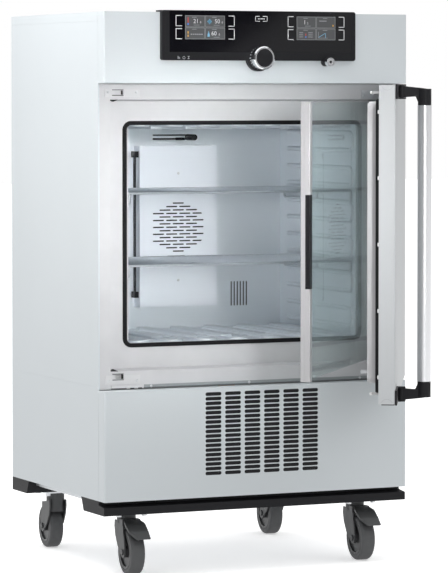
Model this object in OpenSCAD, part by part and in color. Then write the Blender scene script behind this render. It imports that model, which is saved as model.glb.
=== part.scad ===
// Environmental test chamber on casters: a floor-standing cabinet with a test space behind
// a glass inner door and an insulated outer door, both hinged on the right.
// Millimetres. X runs to the right, Y to the rear, Z up from the floor.

/* [Cabinet] */
// Distance of the recess's left edge from the cabinet's left side
frame_left = 31; // [30:0.5:36]
// Distance of the recess's right edge from the cabinet's right side
frame_right = 37.6; // [37:0.2:44]
// Thickness of the insulated wall behind the test space
wall_rear = 83; // [70:1:120]
// Height of the casing's lower edge above the floor
case_base = 167; // [162:1:180]
// Thickness of the casing sheet
sheet = 1.5; // [1:0.1:2]
// Depth of the front cover pans
pan_d = 34; // [30:0.5:35]
// Radius of the vertical front edges of pans and door
edge_r = 3.5; // [2.5:0.1:6]
// Height of the header pan
header_h = 155; // [140:1:160]
// Height of the lower front pan
lower_h = 241.5; // [215:0.5:246]
// Height of the top cover's rim
lid_h = 20; // [12:1:30]
// Width of the visible seam between casing pieces
seam = 0.8; // [0.4:0.1:0.9]

/* [Door frame] */
// Distance of the frame's face behind the front face
face_y = 39.5; // [38.5:0.1:42]
// Distance of the recess plane behind the front face
recess_y = 76; // [75.5:0.5:80]
// Width of the seat left of the test space
seat_left = 57.5; // [56:0.5:64]
// Width of the seat right of the test space
seat_right = 50.9; // [49:0.1:58]
// Height of the seat under the test space
seat_low = 58.6; // [57:0.2:64]
// Height of the seat over the test space
seat_top = 55.6; // [54:0.2:62]
// Distance of the recess's lower edge above the door's lower edge
recess_low = 29.4; // [28:0.2:34]
// Distance of the recess's upper edge below the door's upper edge
recess_top = 30.4; // [29:0.2:34]
// Inward slope of the recess walls over their depth
recess_slope = 3.5; // [1:0.1:4]
// Wall thickness of the moulded frame
frame_wall = 3; // [2:0.2:3.2]
// Width of the inner gasket's band
seal_w = 12.5; // [8:0.5:14]

/* [Test space] */
// Width of the test space
space_w = 560; // [500:1:570]
// Height of the test space
space_h = 480; // [440:1:482]
// Depth from the recess plane to the rear wall
space_d = 400; // [380:1:404]
// Thickness of the liner sheet
liner_t = 1.5; // [1:0.1:2]
// Spacing of the pressed shelf supports
rib_pitch = 80; // [74:1:82]
// Half distance between the two legs of a support
rib_half = 20; // [16:0.5:24]
// Radius of the pressed bead
rib_r = 5; // [4:0.5:6]

/* [Air duct] */
// Width of the duct cover
duct_w = 196; // [180:1:220]
// Depth of the duct cover
duct_d = 33; // [31:0.5:36]
// Height of the duct cover's lower edge above the test space's floor
duct_z = 52.5; // [40:0.5:60]
// Height of the lower cover plate
duct_low_h = 117; // [110:1:125]
// Distance of the duct cover's upper edge below the ceiling
duct_top = 53.3; // [48:0.1:60]
// Height of the upper cover plate
duct_up_h = 97; // [90:1:105]
// Length of a grille slot in the duct cover
fan_slot_l = 28.6; // [24:0.2:30]
// Height of a grille slot in the duct cover
fan_slot_h = 3; // [2:0.2:4]
// Column spacing of the duct grille
fan_slot_px = 33.6; // [32:0.2:36]
// Row spacing of the duct grille
fan_slot_pz = 8; // [7:0.2:8.6]
// Radius of the circulation fan
fan_r = 70; // [55:1:75]
// Radius of the fan shafts
shaft_r = 5; // [4:0.5:6]

/* [Shelves] */
// Height of the lower shelf's support bead, counted from the floor up
shelf_low_bead = 1; // [0:1:2]
// Height of the upper shelf's support bead, counted from the floor up
shelf_up_bead = 3; // [3:1:4]
// Distance between the test space's side wall and the shelf
shelf_side = 4; // [3.5:0.5:5]
// Radius of the shelf's frame wire
wire_r = 3; // [2.5:0.1:3.5]
// Radius of the shelf's cross wires
grid_r = 1.3; // [1:0.1:1.8]
// Spacing of the cross wires
grid_pitch = 15.5; // [12:0.5:20]
// Height of the shelf's side loops
loop_h = 24; // [16:1:28]
// Distance from the recess plane to the shelf's front wire
shelf_front = 12; // [10:0.5:16]
// Distance between the shelf and the test space's rear wall
shelf_back = 40; // [38:0.5:60]

/* [Outer door] */
// Gap between the door's hinge-side edge and the cabinet's right side
door_gap = 3.5; // [2.5:0.1:5]
// Gap between the frame's lower edge and the door
door_low = 9.7; // [9:0.1:12]
// Gap between the door and the frame's upper edge
door_top = 4.2; // [3.5:0.1:6]
// Left edge of the closed outer door
door_x = 2.8; // [2:0.1:4]
// Position of the closed outer door's face
door_y = -2; // [-4:0.1:-1.5]
// Thickness of the outer door's shell
door_t = 34; // [30:0.5:34.5]
// Distance of the hinge axis from the door's hinge-side edge
door_axis_in = 11.5; // [10:0.1:13]
// Distance of the hinge axis from the door's face
door_axis_y = 19; // [17:0.1:20]
// Opening angle of the outer door as modelled
door_open = 60.75; // [0:0.25:100]
// Depth of the insulating plug behind the door shell
plug_d = 25.6; // [20:0.2:26]
// Left edge of the plug measured from the door's free edge
plug_in = 56; // [55:1:60]
// Distance of the plug's right edge from the door's hinge-side edge
plug_hinge = 41.5; // [38:0.5:44]
// Clearance between the door gasket and the frame's face
gasket_gap = 0.3; // [0.1:0.1:0.5]
// Radius of the door hinge pins
pin_r = 4; // [3:0.5:5]
// Running clearance of pins in their bores
fit = 0.05; // [0.02:0.01:0.08]

/* [Handle and latch] */
// Radius of the handle tube
tube_r = 14.5; // [12:0.5:16]
// Wall of the handle tube
tube_wall = 2; // [1:0.5:3]
// Distance of the handle from the door's free edge
handle_u = 97; // [90:1:105]
// Distance of the handle tube's axis from the door's face
handle_n = 57; // [50:1:62]
// Radius of the handle's hub
hub_r = 9.3; // [8:0.1:10]
// Distance of the handle's pivot from the door's face
hub_n = 9.6; // [9.5:0.1:11]
// Height of the pivot brackets
bracket_h = 30.5; // [26:0.5:34]
// Distance of the latch rod from the door's free edge
latch_u = 54.2; // [52:0.1:56]
// Distance of the latch rod from the door's face
latch_n = 17; // [15:0.5:18]
// Radius of the latch rod
latch_r = 4; // [3:0.5:5]
// Thickness of a latch hook
hook_t = 5; // [4:0.5:5.5]
// Reach of a latch hook behind the door shell
hook_reach = 19.5; // [16:0.5:21]

/* [Glass door] */
// Distance of the glass door's free edge from the recess's left edge
glass_side = 7; // [6:0.2:9]
// Gap between the recess's lower edge and the glass door
glass_low = 6.4; // [5:0.2:8]
// Gap between the glass door and the recess's upper edge
glass_top = 5; // [4.6:0.2:8]
// Thickness of the glass pane
glass_t = 5; // [4:0.5:6]
// Clearance between the pane and the inner gasket
glass_gap = 0.6; // [0.4:0.1:1]
// Width of the handle profile
profile_w = 20; // [16:0.5:22]
// Depth of the handle profile
profile_d = 20.6; // [18:0.2:24.6]
// Length of the grip insert in the handle profile
grip_l = 196.4; // [150:0.2:260]
// Width of the grip insert's face
grip_w = 10.3; // [8:0.1:11.5]
// Distance of the glass door's hinge axis from the recess's right edge
glass_axis_in = 12.3; // [11.8:0.1:12.8]
// Distance of the glass door's hinge axis before the recess plane
glass_axis_y = 15; // [14:0.2:15.4]
// Radius of the glass hinge pins
glass_pin_r = 2; // [1.6:0.1:2.2]
// Opening angle of the glass door as modelled
glass_open = 50.5; // [0:0.25:80]

/* [Controls] */
// Width of the control housing
panel_w = 470; // [460:1:500]
// Height of the control housing
panel_h = 109; // [104:1:112]
// Projection of the control housing
panel_d = 12; // [10:0.5:16]
// Radius of the selector knob
knob_r = 25; // [20:0.5:28]
// Projection of the selector knob's face
knob_y = 40; // [36:0.5:48]
// Radius of the push button's collar
collar_r = 9.5; // [9:0.1:12]
// Projection of the push button's collar
collar_y = 31; // [24:0.5:34]
// Radius of the push button
button_r = 7.2; // [5:0.1:7.4]

/* [Lower grille] */
// Length of a ventilation slot
vent_l = 39; // [30:0.5:42]
// Height of a ventilation slot
vent_h = 8; // [4:0.5:8.5]
// Column spacing of the ventilation slots
vent_px = 47.4; // [44:0.2:50]
// Row spacing of the ventilation slots
vent_pz = 10.3; // [9.6:0.1:10.6]
// Number of slot columns
vent_cols = 6; // [3:1:7]
// Number of slot rows
vent_rows = 18; // [8:1:18]

/* [Base and casters] */
// Height of the plinth blocks' underside above the floor
block_z = 137; // [134:0.5:138]
// Width of a plinth block
block_w = 134.7; // [125:0.5:140]
// Height of the plinth's front lip
lip_h = 17.5; // [14:0.5:19]
// Setback of the plinth's lip behind the front face
lip_y = 3; // [1:0.5:5]
// Height of the base tray below the casing's edge
tray_drop = 12; // [8:0.5:12.5]
// Sheet thickness of the base tray
tray_t = 2; // [1.5:0.1:3]
// Half distance between the casters' pivots
caster_x = 282; // [275:0.5:284]
// Front casters' pivot behind the front face
caster_y = 84; // [82:0.5:86]
// Distance between the front and the rear pivots
caster_base = 424; // [415:0.5:428]
// Wheel radius
wheel_r = 50; // [45:0.5:50]
// Wheel width
wheel_w = 32; // [28:0.5:34]
// Offset of the wheel's axle from the pivot
trail = 35; // [30:0.5:38]
// Radius of the swivel pin
king_r = 6; // [5:0.5:7]
// Angle by which the wheels are turned from straight
caster_turn = 4; // [0:0.5:20]

/* [Machinery] */
// Radius of the compressor's shell
comp_r = 72; // [60:1:76]
// Height of the compressor
comp_h = 190; // [150:1:200]
// Radius of the condenser fan
cfan_r = 85; // [70:1:88]
// Depth of the rear housing
rear_d = 115; // [100:1:130]
// Distance of the rear housing from the cabinet's sides
rear_in = 60; // [50:1:80]
// Distance of the power inlet from the cabinet's right side
inlet_in = 108.5; // [90:0.5:150]

/* [Hidden] */
$fn = 48;
touch = 0.1;
clear = 0.3;

// Widths, from the test space outwards
recess_x0 = frame_left;
sx0 = recess_x0 + seat_left;
sx1 = sx0 + space_w;
recess_x1 = sx1 + seat_right;
case_w = recess_x1 + frame_right;
cx = case_w / 2;
in_x0 = sheet + clear;
in_x1 = case_w - sheet - clear;

// Heights, from the floor upwards
lower_top = case_base + lower_h;
frame_z0 = lower_top + seam;
door_z = frame_z0 + door_low;
recess_z0 = door_z + recess_low;
space_z = recess_z0 + seat_low;
sz1 = space_z + space_h;
recess_z1 = sz1 + seat_top;
door_z1 = recess_z1 + recess_top;
frame_z1 = door_z1 + door_top;
header_z = frame_z1 + seam;
case_top = header_z + header_h;
lid_z = case_top - lid_h;

// Depths, from the front to the rear
seat_y = recess_y + frame_wall;
back_y = recess_y + space_d;
case_d = back_y + wall_rear;
rear_y = case_d + rear_d;

// Shelves and air duct
shelf_l = space_d - shelf_front - shelf_back;
bead_x = shelf_side + wire_r;
bead_dz = sqrt(pow(rib_r + wire_r + clear, 2) - pow(bead_x, 2));
side_ribs = floor((space_h - rib_half - rib_r) / rib_pitch + 0.5);
floor_ribs = floor((space_w / 2 - rib_half - rib_r) / rib_pitch);
fan_off = 1.8;
fan_x = cx + fan_off;
fan_low = 12;
duct_z0 = space_z + duct_z;
duct_split = 1.6;
duct_mid_h = space_h - duct_z - duct_top - duct_low_h - duct_up_h - 2 * duct_split;
duct_mid_z = duct_z0 + duct_low_h + duct_split;
duct_up_z = duct_mid_z + duct_mid_h + duct_split;
fan_z = duct_mid_z + duct_mid_h / 2 - fan_low;
fan_rows = floor((duct_mid_h / 2 - fan_low - fan_slot_h) / fan_slot_pz);

// Outer door
door_x1 = case_w - door_gap;
door_w = door_x1 - door_x;
door_h = door_z1 - door_z;
door_in = door_y + door_t;
dax = door_x1 - door_axis_in;
day = door_y + door_axis_y;
plug_x0 = door_x + plug_in;
plug_x1 = door_x1 - plug_hinge;
plug_z0 = recess_z0 + 8.6;
plug_z1 = recess_z1 - 4.1;
ring_x0 = recess_x0 - 11;
ring_x1 = recess_x1 + 9.6;
ring_z0 = recess_z0 - 8.2;
ring_z1 = recess_z1 + 2;
keep_x0 = door_x + 15;
keep_x1 = keep_x0 + 82.6;
hook_z = [ring_z0 - 1 - hook_t / 2, ring_z1 + 13];
latch_x = door_x + latch_u;
latch_y = door_y + latch_n;
hx = door_x + handle_u;
hy = door_y - hub_n;
tube_z0 = door_z + 40;
tube_z1 = door_z1 - 42;

// Glass door
glass_x = recess_x0 + glass_side;
glass_z = recess_z0 + glass_low;
glass_z1 = recess_z1 - glass_top;
glass_ax = recess_x1 - glass_axis_in;
glass_ay = recess_y - glass_axis_y;
glass_y = recess_y - 3.4 - glass_gap - glass_t;
prof_y1 = recess_y - 0.8;
prof_y0 = prof_y1 - profile_d;
glass_front = door_in + plug_d + clear;
grip_z = glass_z + (glass_z1 - glass_z) / 2 - grip_l / 2 + 0.5;

// Controls and lower grille
panel_x0 = cx - panel_w / 2 - 1.5;
panel_z1 = case_top + 4;
panel_z0 = panel_z1 - panel_h;
knob_x = cx - 3;
knob_z = panel_z0 + 5.6;
button_x = cx + 163.2;
button_z = panel_z0 - 2.4;
vent_x0 = cx - (vent_cols * vent_px - (vent_px - vent_l)) / 2 + 9.8;
vent_z1 = lower_top - 9.7;

// Base and machinery
tray_z = case_base - tray_drop;
tray_x = 20.5;
head_z = block_z - 4.4;
elec_x1 = case_w - tray_x - tray_t - 10;
elec_x0 = elec_x1 - 128;
comp_x = elec_x0 - 16 - comp_r;
comp_y = case_d - 159;
cfan_x = cx + 9;
cond_y = pan_d + 12;
cond_z0 = tray_z + tray_t;
cond_z1 = compartment_top() - sheet - 27.8;
cfan_z = (cond_z0 + cond_z1) / 2 + 30;
motor_l = rear_d - 39;
inlet_x = case_w - inlet_in;
inlet_z = case_base + 74;
tail = door_open;
frame_x = (dax + (door_x1 - dax) * cos(tail) - (door_y - day) * sin(tail)) / 2;
frame_y = (rear_y + day + (door_x - dax) * sin(tail) + (door_y - day) * cos(tail)) / 2;

// Shared shapes

// Box between two opposite corners
module box(a, b) {
    translate(a) cube(b - a);
}

// Flat rounded rectangle with its corner at the origin
module round_rect(w, h, r) {
    translate([r, 0]) square([w - 2 * r, h]);
    translate([0, r]) square([w, h - 2 * r]);
    for (x = [r, w - r], y = [r, h - r]) translate([x, y]) circle(r);
}

// Box between two corners with its edges along Y rounded
module box_y(a, b, r) {
    translate([a[0], b[1], a[2]]) rotate([90, 0, 0])
        linear_extrude(b[1] - a[1]) round_rect(b[0] - a[0], b[2] - a[2], r);
}

// Box between two corners with its edges along Z rounded
module box_z(a, b, r) {
    translate(a) linear_extrude(b[2] - a[2]) round_rect(b[0] - a[0], b[1] - a[1], r);
}

// Cylinder along Y from one depth to another
module rod_y(x, z, y0, y1, r) {
    translate([x, y1, z]) rotate([90, 0, 0]) cylinder(r = r, h = y1 - y0);
}

// Cylinder along X
module rod_x(y, z, x0, x1, r) {
    translate([x0, y, z]) rotate([0, 90, 0]) cylinder(r = r, h = x1 - x0);
}

// Cylinder along Z
module rod_z(x, y, z0, z1, r) {
    translate([x, y, z0]) cylinder(r = r, h = z1 - z0);
}

// Profile drawn in the Y-Z plane, drawn out along X
module along_x(x0, x1) {
    translate([x0, 0, 0]) rotate([90, 0, 90]) linear_extrude(x1 - x0) children();
}

// Round-ended slot lying along X and cut through along Y
module slot_x(x, z, y0, y1, l, h) {
    translate([0, y1, 0]) rotate([90, 0, 0]) linear_extrude(y1 - y0) {
        translate([x + h / 2, z - h / 2]) square([l - h, h]);
        for (e = [x + h / 2, x + l - h / 2]) translate([e, z]) circle(h / 2, $fn = 24);
    }
}

// Plan of a pan: a rectangle with two rounded front corners
module pan_plan(w, d, r) {
    translate([r, 0]) square([w - 2 * r, d]);
    translate([0, r]) square([w, d - r]);
    for (x = [r, w - r]) translate([x, r]) circle(r);
}

// Cover pan open at the rear, with returns on all four sides
module pan(x, y, z, w, d, h) {
    difference() {
        translate([x, y, z]) linear_extrude(h) pan_plan(w, d, edge_r);
        translate([x + sheet, y + sheet, z + sheet]) linear_extrude(h - 2 * sheet)
            pan_plan(w - 2 * sheet, d, edge_r - sheet);
    }
}

// Places
module place() {
    translate([-frame_x, -frame_y, 0]) children();
}
module on_door() {
    place() translate([dax, day, 0]) rotate([0, 0, door_open]) translate([-dax, -day, 0]) children();
}
module on_glass() {
    place() translate([glass_ax, glass_ay, 0]) rotate([0, 0, glass_open])
        translate([-glass_ax, -glass_ay, 0]) children();
}
module on_caster(i) {
    rear = i > 1;
    x0 = cx + (i % 2 == 0 ? -caster_x : caster_x);
    place() translate([x0, caster_y + (rear ? caster_base : 0), 0])
        rotate([0, 0, (rear ? 90 : -90) - caster_turn]) children();
}

// Base

module base_frame() color("#b9bcbd") place() {
    y0 = pan_d + 2;
    y1 = case_d - sheet - clear;
    difference() {
        box([tray_x, y0, tray_z], [case_w - tray_x, y1, case_base + 38]);
        box([tray_x + tray_t, y0 + tray_t, tray_z + tray_t],
            [case_w - tray_x - tray_t, y1 - tray_t, case_base + 39]);
        box([tray_x - 1, 322, tray_z + 5], [tray_x + tray_t + 1, 328, tray_z + 10]);
    }
}

module block_profile() {
    polygon([[lip_y, block_z], [caster_y + 37.5, block_z], [caster_y + 51, case_base - touch],
        [pan_d, case_base - touch], [pan_d - 1, block_z + lip_h + 3.5], [lip_y, block_z + lip_h]]);
}

module rear_block_profile() {
    y = caster_y + caster_base;
    polygon([[y - 40, block_z], [case_d, block_z], [case_d, case_base - touch],
        [y - 53, case_base - touch]]);
}

module plinth_blocks() color("#3c3d3e") place() {
    difference() {
        for (x = [0, case_w - block_w]) along_x(x, x + block_w) block_profile();
        box([tray_x - clear, pan_d + 2 - clear, tray_z - touch],
            [case_w - tray_x + clear, case_d, case_base + 1]);
        for (x = [0, case_w - 14]) box([x - 1, -1, block_z + lip_h + 3], [x + 15, lip_y + 26, case_base]);
    }
    difference() {
        for (x = [0, case_w - block_w]) along_x(x, x + block_w) rear_block_profile();
        box([tray_x - clear, pan_d, tray_z - touch],
            [case_w - tray_x + clear, case_d - sheet, case_base + 1]);
    }
}

module plinth_profile() color("#2b2c2d") place() {
    along_x(block_w + touch, case_w - block_w - touch) difference() {
        polygon([[lip_y, block_z], [pan_d - 1, block_z], [pan_d - 1, case_base - touch],
            [pan_d - 4, case_base - touch], [pan_d - 4, block_z + lip_h + 3.2], [lip_y, block_z + lip_h]]);
        translate([lip_y + 2.5, block_z + 2.5]) square([pan_d - 1 - lip_y - 5, lip_h - 5]);
    }
}

// Casing

module side_panel(x0, out) {
    x1 = x0 + sheet;
    inner = out < 0 ? x1 : x0;
    difference() {
        union() {
            box([x0, pan_d, case_base], [x1, case_d, lid_z - 0.2]);
            for (z = [case_base, lid_z - 0.2 - sheet])
                box([min(inner, inner - out * (tray_x - 2)), pan_d, z],
                    [max(inner, inner - out * (tray_x - 2)), case_d, z + sheet]);
            box([min(inner, inner - out * 2), pan_d, case_base],
                [max(inner, inner - out * 2), pan_d + sheet, lid_z - 0.2]);
        }
        translate([out < 0 ? x0 - 1 : x1 - 0.5, pan_d + 14, frame_z0 + 6])
            cube([1.5, case_d - pan_d - 67, 1.4]);
    }
}

module side_panel_left() color("#e4e8ea") place() side_panel(0, -1);

module side_panel_right() color("#e4e8ea") place() side_panel(case_w - sheet, 1);

module top_cover() color("#e4e8ea") place() {
    difference() {
        box([0, pan_d, lid_z], [case_w, case_d, case_top]);
        box([sheet, pan_d + sheet, lid_z - 1], [case_w - sheet, case_d - sheet, case_top - sheet]);
    }
}

module rear_panel() color("#dfe3e5") place() {
    y1 = case_d - touch;
    difference() {
        box([in_x0, y1 - sheet, case_base + 39 + clear], [in_x1, y1, lid_z - sheet - 0.2 - clear]);
        rod_y(fan_x, fan_z, y1 - 9, y1 + 9, 40);
        box([inlet_x - 20, y1 - 9, inlet_z - 14], [inlet_x + 20, y1 + 9, inlet_z + 14]);
        for (i = [0:8], s = [-1, 1])
            slot_x(cx - 30 + s * 150, case_base + 70 + i * 16, y1 - 9, y1 + 9, 90, 6);
    }
}

module front_header() color("#d8dcdf") place() {
    difference() {
        pan(0, 0, header_z, case_w, pan_d - seam, header_h);
        rod_y(knob_x, knob_z, -9, 9, 12);
        rod_y(button_x, button_z, -9, 9, button_r - 1);
    }
}

module lower_front_panel() color("#d3d8da") place() {
    difference() {
        pan(0, 0, case_base, case_w, pan_d - seam, lower_h);
        for (c = [0:vent_cols - 1], r = [0:vent_rows - 1])
            slot_x(vent_x0 + c * vent_px, vent_z1 - vent_h / 2 - r * vent_pz, -1, sheet + 1,
                vent_l, vent_h);
    }
}

module dust_filter() color("#1c1d1e") place() {
    w = vent_cols * vent_px + 4;
    h = vent_rows * vent_pz + 8;
    difference() {
        box_y([vent_x0 - 4, sheet + touch, vent_z1 + 5 - h], [vent_x0 - 4 + w, sheet + 12, vent_z1 + 5], 4);
        box_y([vent_x0 + 1, sheet + 8, vent_z1 + 10 - h], [vent_x0 - 9 + w, sheet + 13, vent_z1], 3);
    }
}

// Door frame and its fittings

// Pocket with sloping walls, grown by a margin
module recess_pocket(m, y1) {
    k = recess_slope;
    x0 = recess_x0 - m;
    x1 = recess_x1 + m;
    z0 = recess_z0 - m;
    z1 = recess_z1 + m;
    intersection() {
        along_x(x0 - 5, x1 + 5)
            polygon([[face_y, z0], [face_y, z1], [y1, z1 - k], [y1, z0 + k]]);
        translate([0, 0, z0 - 5]) linear_extrude(z1 - z0 + 10)
            polygon([[x0, face_y], [x1, face_y], [x1 - k, y1], [x0 + k, y1]]);
    }
}

module door_frame() color("#e2e3e5") place() {
    difference() {
        union() {
            box([in_x0, face_y, frame_z0], [in_x1, face_y + frame_wall, frame_z1]);
            recess_pocket(frame_wall, seat_y);
        }
        translate([0, -touch, 0]) recess_pocket(0, recess_y + touch);
        box([sx0, face_y, space_z], [sx1, seat_y + 1, sz1]);
        for (z = hook_z)
            box([keep_x0 + 19, face_y - 1, z - 5.5], [keep_x0 + 44, face_y + frame_wall + 1, z + 5.5]);
    }
}

module latch_keepers() color("#cfd2d5") place() {
    for (i = [0, 1]) {
        z = hook_z[i];
        h = i == 0 ? 16 : 10;
        difference() {
            box([keep_x0, face_y - sheet, z - h], [keep_x1, face_y, z + (i == 0 ? 3.6 : 7)]);
            box([keep_x0 + 24.5, face_y - 9, z - 4.5], [keep_x0 + 44, face_y + 9, z + (i == 0 ? 9 : 4.5)]);
        }
    }
}

module cross_strip() color("#d9dbdd") place() {
    z0 = frame_z0 + 0.4;
    difference() {
        box([recess_x0 + 1, face_y - sheet, z0], [dax - 16.5, face_y, z0 + 8.6]);
        for (x = [30, 40, 56])
            box([recess_x0 + x, face_y - 9, z0 - 1], [recess_x0 + x + 7, face_y + 9, z0 + 2.4]);
    }
}

module screw_head(x, y, z) {
    difference() {
        intersection() {
            rod_y(x, z, y - 1.6, y, 3.2);
            translate([x, y + 3.2, z]) sphere(4.8);
        }
        box([x - 2.2, y - 3, z - 0.4], [x + 2.2, y - 1, z + 0.4]);
        box([x - 0.4, y - 3, z - 2.2], [x + 0.4, y - 1, z + 2.2]);
    }
}

module screws() color("#b4b7ba") place() {
    for (x = [keep_x0 + 8, keep_x1 - 8]) {
        screw_head(x, face_y - sheet, hook_z[1] + 1);
        screw_head(x, face_y - sheet, hook_z[0] - 9);
    }
    for (x = [recess_x0 + 96, recess_x0 + 333, recess_x1 - 60])
        screw_head(x, face_y - sheet, frame_z0 + 5);
    for (x = [glass_ax - 38, glass_ax - 14]) screw_head(x, face_y - sheet, recess_z1 + 11.5);
    for (z = [duct_z0 + duct_low_h / 2 + 3, duct_up_z + duct_up_h / 2 - 15])
        screw_head(fan_x, back_y - duct_d, z);
}

module inner_gasket() color("#1b1b1c") place() {
    x0 = sx0 - seal_w - 1;
    x1 = sx1 + seal_w + 0.5;
    z0 = space_z - seal_w + 3;
    z1 = sz1 + seal_w - 4;
    difference() {
        union() {
            box_y([x0, recess_y - 2.4, z0], [x1, recess_y, z1], 20);
            difference() {
                box_y([x0 + 1.5, recess_y - 3.4, z0 + 1.5], [x1 - 1.5, recess_y - 2, z1 - 1.5], 18.5);
                box_y([x0 + 4, recess_y - 4, z0 + 4], [x1 - 4, recess_y, z1 - 4], 16);
            }
            box_y([x0 + 7, recess_y - 3.4, z0 + 7], [x1 - 7, recess_y - 2, z1 - 7], 13);
        }
        box_y([x0 + 9.2, recess_y - 9, z0 + 9.2], [x1 - 9.2, recess_y + 9, z1 - 9.2], 10.8);
    }
}

// Test space

module insulation() color("#e9dfae") place() {
    o = liner_t + touch;
    difference() {
        box([in_x0 + clear, seat_y + clear, compartment_top()],
            [in_x1 - clear, case_d - sheet - 0.6, header_z - 2]);
        box([sx0 - o, seat_y - 1, space_z - o], [sx1 + o, back_y + o, sz1 + o]);
        rod_y(fan_x, fan_z, back_y, case_d + 9, 14);
        rod_y(fan_x + 60, duct_z0 - 25, back_y, case_d + 9, 9);
    }
}

// Two straight legs joined by a bend: one pressed support lying in the X-Y plane
module bead(l) {
    for (s = [-1, 1]) {
        translate([s * rib_half, 0, 0]) rotate([-90, 0, 0]) cylinder(r = rib_r, h = l, $fn = 24);
        translate([s * rib_half, l, 0]) sphere(rib_r, $fn = 24);
    }
    rotate([0, 0, 180]) rotate_extrude(angle = 180, $fn = 48)
        translate([rib_half, 0]) circle(rib_r, $fn = 24);
}

module liner() color("#c3ccd4") place() {
    o = liner_t;
    y0 = seat_y + touch;
    bend = recess_y + 10 + rib_half + rib_r;
    leg = space_d - 62 - rib_half;
    difference() {
        union() {
            difference() {
                box([sx0 - o, y0, space_z - o], [sx1 + o, back_y + o, sz1 + o]);
                box([sx0, y0 - 1, space_z], [sx1, back_y, sz1]);
            }
            intersection() {
                union() {
                    for (i = [0:side_ribs - 1], s = [0, 1])
                        translate([s ? sx1 : sx0, bend, space_z + rib_pitch * (i + 0.5)])
                            rotate([0, 90, 0]) bead(leg);
                    for (i = [-floor_ribs:floor_ribs], z = [space_z, sz1])
                        translate([cx + rib_pitch * i, bend, z]) bead(leg);
                }
                box([sx0 - 1, y0, space_z - 1], [sx1 + 1, back_y, sz1 + 1]);
            }
        }
        rod_y(fan_x, fan_z, back_y - 1, back_y + 9, 12);
        for (i = [0:5]) box([fan_x + 149.2 + i * 7.9, back_y - 1, duct_z0 - 4],
            [fan_x + 152.5 + i * 7.9, back_y + 9, duct_z0 + 53]);
    }
}

// One duct cover plate with its side flanges
module duct_plate(z, h) {
    x0 = fan_x - duct_w / 2;
    y0 = back_y - duct_d;
    difference() {
        box([x0, y0, z], [x0 + duct_w, back_y - touch, z + h]);
        box([x0 + sheet, y0 + sheet, z - 1], [x0 + duct_w - sheet, back_y + 1, z + h + 1]);
        children();
    }
}

module duct_covers() color("#c9d0d6") place() {
    y0 = back_y - duct_d;
    duct_plate(duct_z0, duct_low_h);
    duct_plate(duct_up_z, duct_up_h);
    duct_plate(duct_mid_z, duct_mid_h)
        for (r = [-fan_rows:fan_rows]) {
            n = min(fan_rows + 1 - abs(r), abs(r) % 2 == 0 ? 4 : 3);
            for (c = [0:n - 1])
                slot_x(fan_x - fan_slot_l / 2 + (c - (n - 1) / 2) * fan_slot_px,
                    fan_z + r * fan_slot_pz, y0 - 1, y0 + sheet + 1, fan_slot_l, fan_slot_h);
        }
    for (z = [duct_z0, duct_up_z + duct_up_h])
        box([fan_x - duct_w / 2 + sheet, y0 + sheet, z - (z > duct_z0 ? sheet : 0)],
            [fan_x + duct_w / 2 - sheet, back_y - touch, z + (z > duct_z0 ? 0 : sheet)]);
}

module sensor_probes() color("#3a3d40") place() {
    x = fan_x - duct_w / 2 - touch;
    pz = duct_up_z + duct_up_h + 20;
    gx = fan_x + 37.6;
    rod_y(gx, pz, back_y - 42, back_y - touch, 7);
    rod_x(back_y - 38, pz - 3.4, gx - 104, gx, 2);
    rod_x(back_y - 38, pz + 5.4, gx - 104, gx, 1.6);
    rod_x(back_y - 38, pz - 3.4, gx - 46, gx - 24, 3.2);
    for (z = [duct_z0 + 22, duct_up_z + duct_up_h - 26])
        box([x - 10, back_y - 27, z], [x, back_y - 7, z + 14]);
    for (y = [12, 20]) rod_z(x - 5, back_y - y, duct_z0 + 30, duct_up_z + duct_up_h - 20, 1.4);
}

// Machinery

function compartment_top() = frame_z0 + 17;

module compartment_floor() color("#b7bbbd") place() {
    z = compartment_top() - touch;
    box([in_x0 + clear, face_y + frame_wall + touch, z - sheet], [in_x1 - clear, case_d - sheet - 0.6, z]);
}

module fan_motor() color("#55595c") place() {
    y = case_d;
    difference() {
        union() {
            rod_y(fan_x, fan_z, y, y + 5, 58);
            rod_y(fan_x, fan_z, y + 4, y + motor_l - 6, 44);
            rod_y(fan_x, fan_z, y + motor_l - 7, y + motor_l, 20);
            for (a = [0:30:330]) translate([fan_x, y + motor_l - 16, fan_z]) rotate([90, a, 0])
                translate([42, -1.5, 0]) cube([6, 3, motor_l - 28]);
        }
        rod_y(fan_x, fan_z, y - 1, y + 30, shaft_r + fit);
    }
}

module fan_impeller() color("#9aa0a5") place() {
    y1 = back_y - 4;
    y0 = y1 - 22;
    difference() {
        union() {
            rod_y(fan_x, fan_z, y1 - 2, y1, fan_r);
            rod_y(fan_x, fan_z, y0, y1, 16);
            for (a = [0:30:330]) translate([fan_x, y1 - 1, fan_z]) rotate([90, a, 0])
                translate([fan_r - 26, 0, 0]) rotate([0, 0, 35]) cube([24, 1.6, 21]);
            difference() {
                rod_y(fan_x, fan_z, y0, y0 + 2, fan_r);
                rod_y(fan_x, fan_z, y0 - 1, y0 + 3, fan_r - 24);
            }
            rod_y(fan_x, fan_z, y1 - 1, case_d + 28, shaft_r);
        }
    }
}

module evaporator() color("#c08457") place() {
    w = duct_w - 28;
    h = duct_low_h - 25;
    x0 = fan_x - w / 2;
    z0 = duct_z0 + 6;
    box([x0, back_y - 21, z0 + 3], [x0 + w, back_y - 4, z0 + h - 3]);
    for (i = [0:floor(w / 7)]) box([x0 + i * 7 - 0.5, back_y - 24, z0], [x0 + i * 7 + 0.5, back_y - 1, z0 + h]);
    for (i = [0:3]) rod_x(back_y - 12.5, z0 + h / 2 + (i - 1.5) * 22, x0 - 6, x0 + 1, 4);
}

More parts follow.
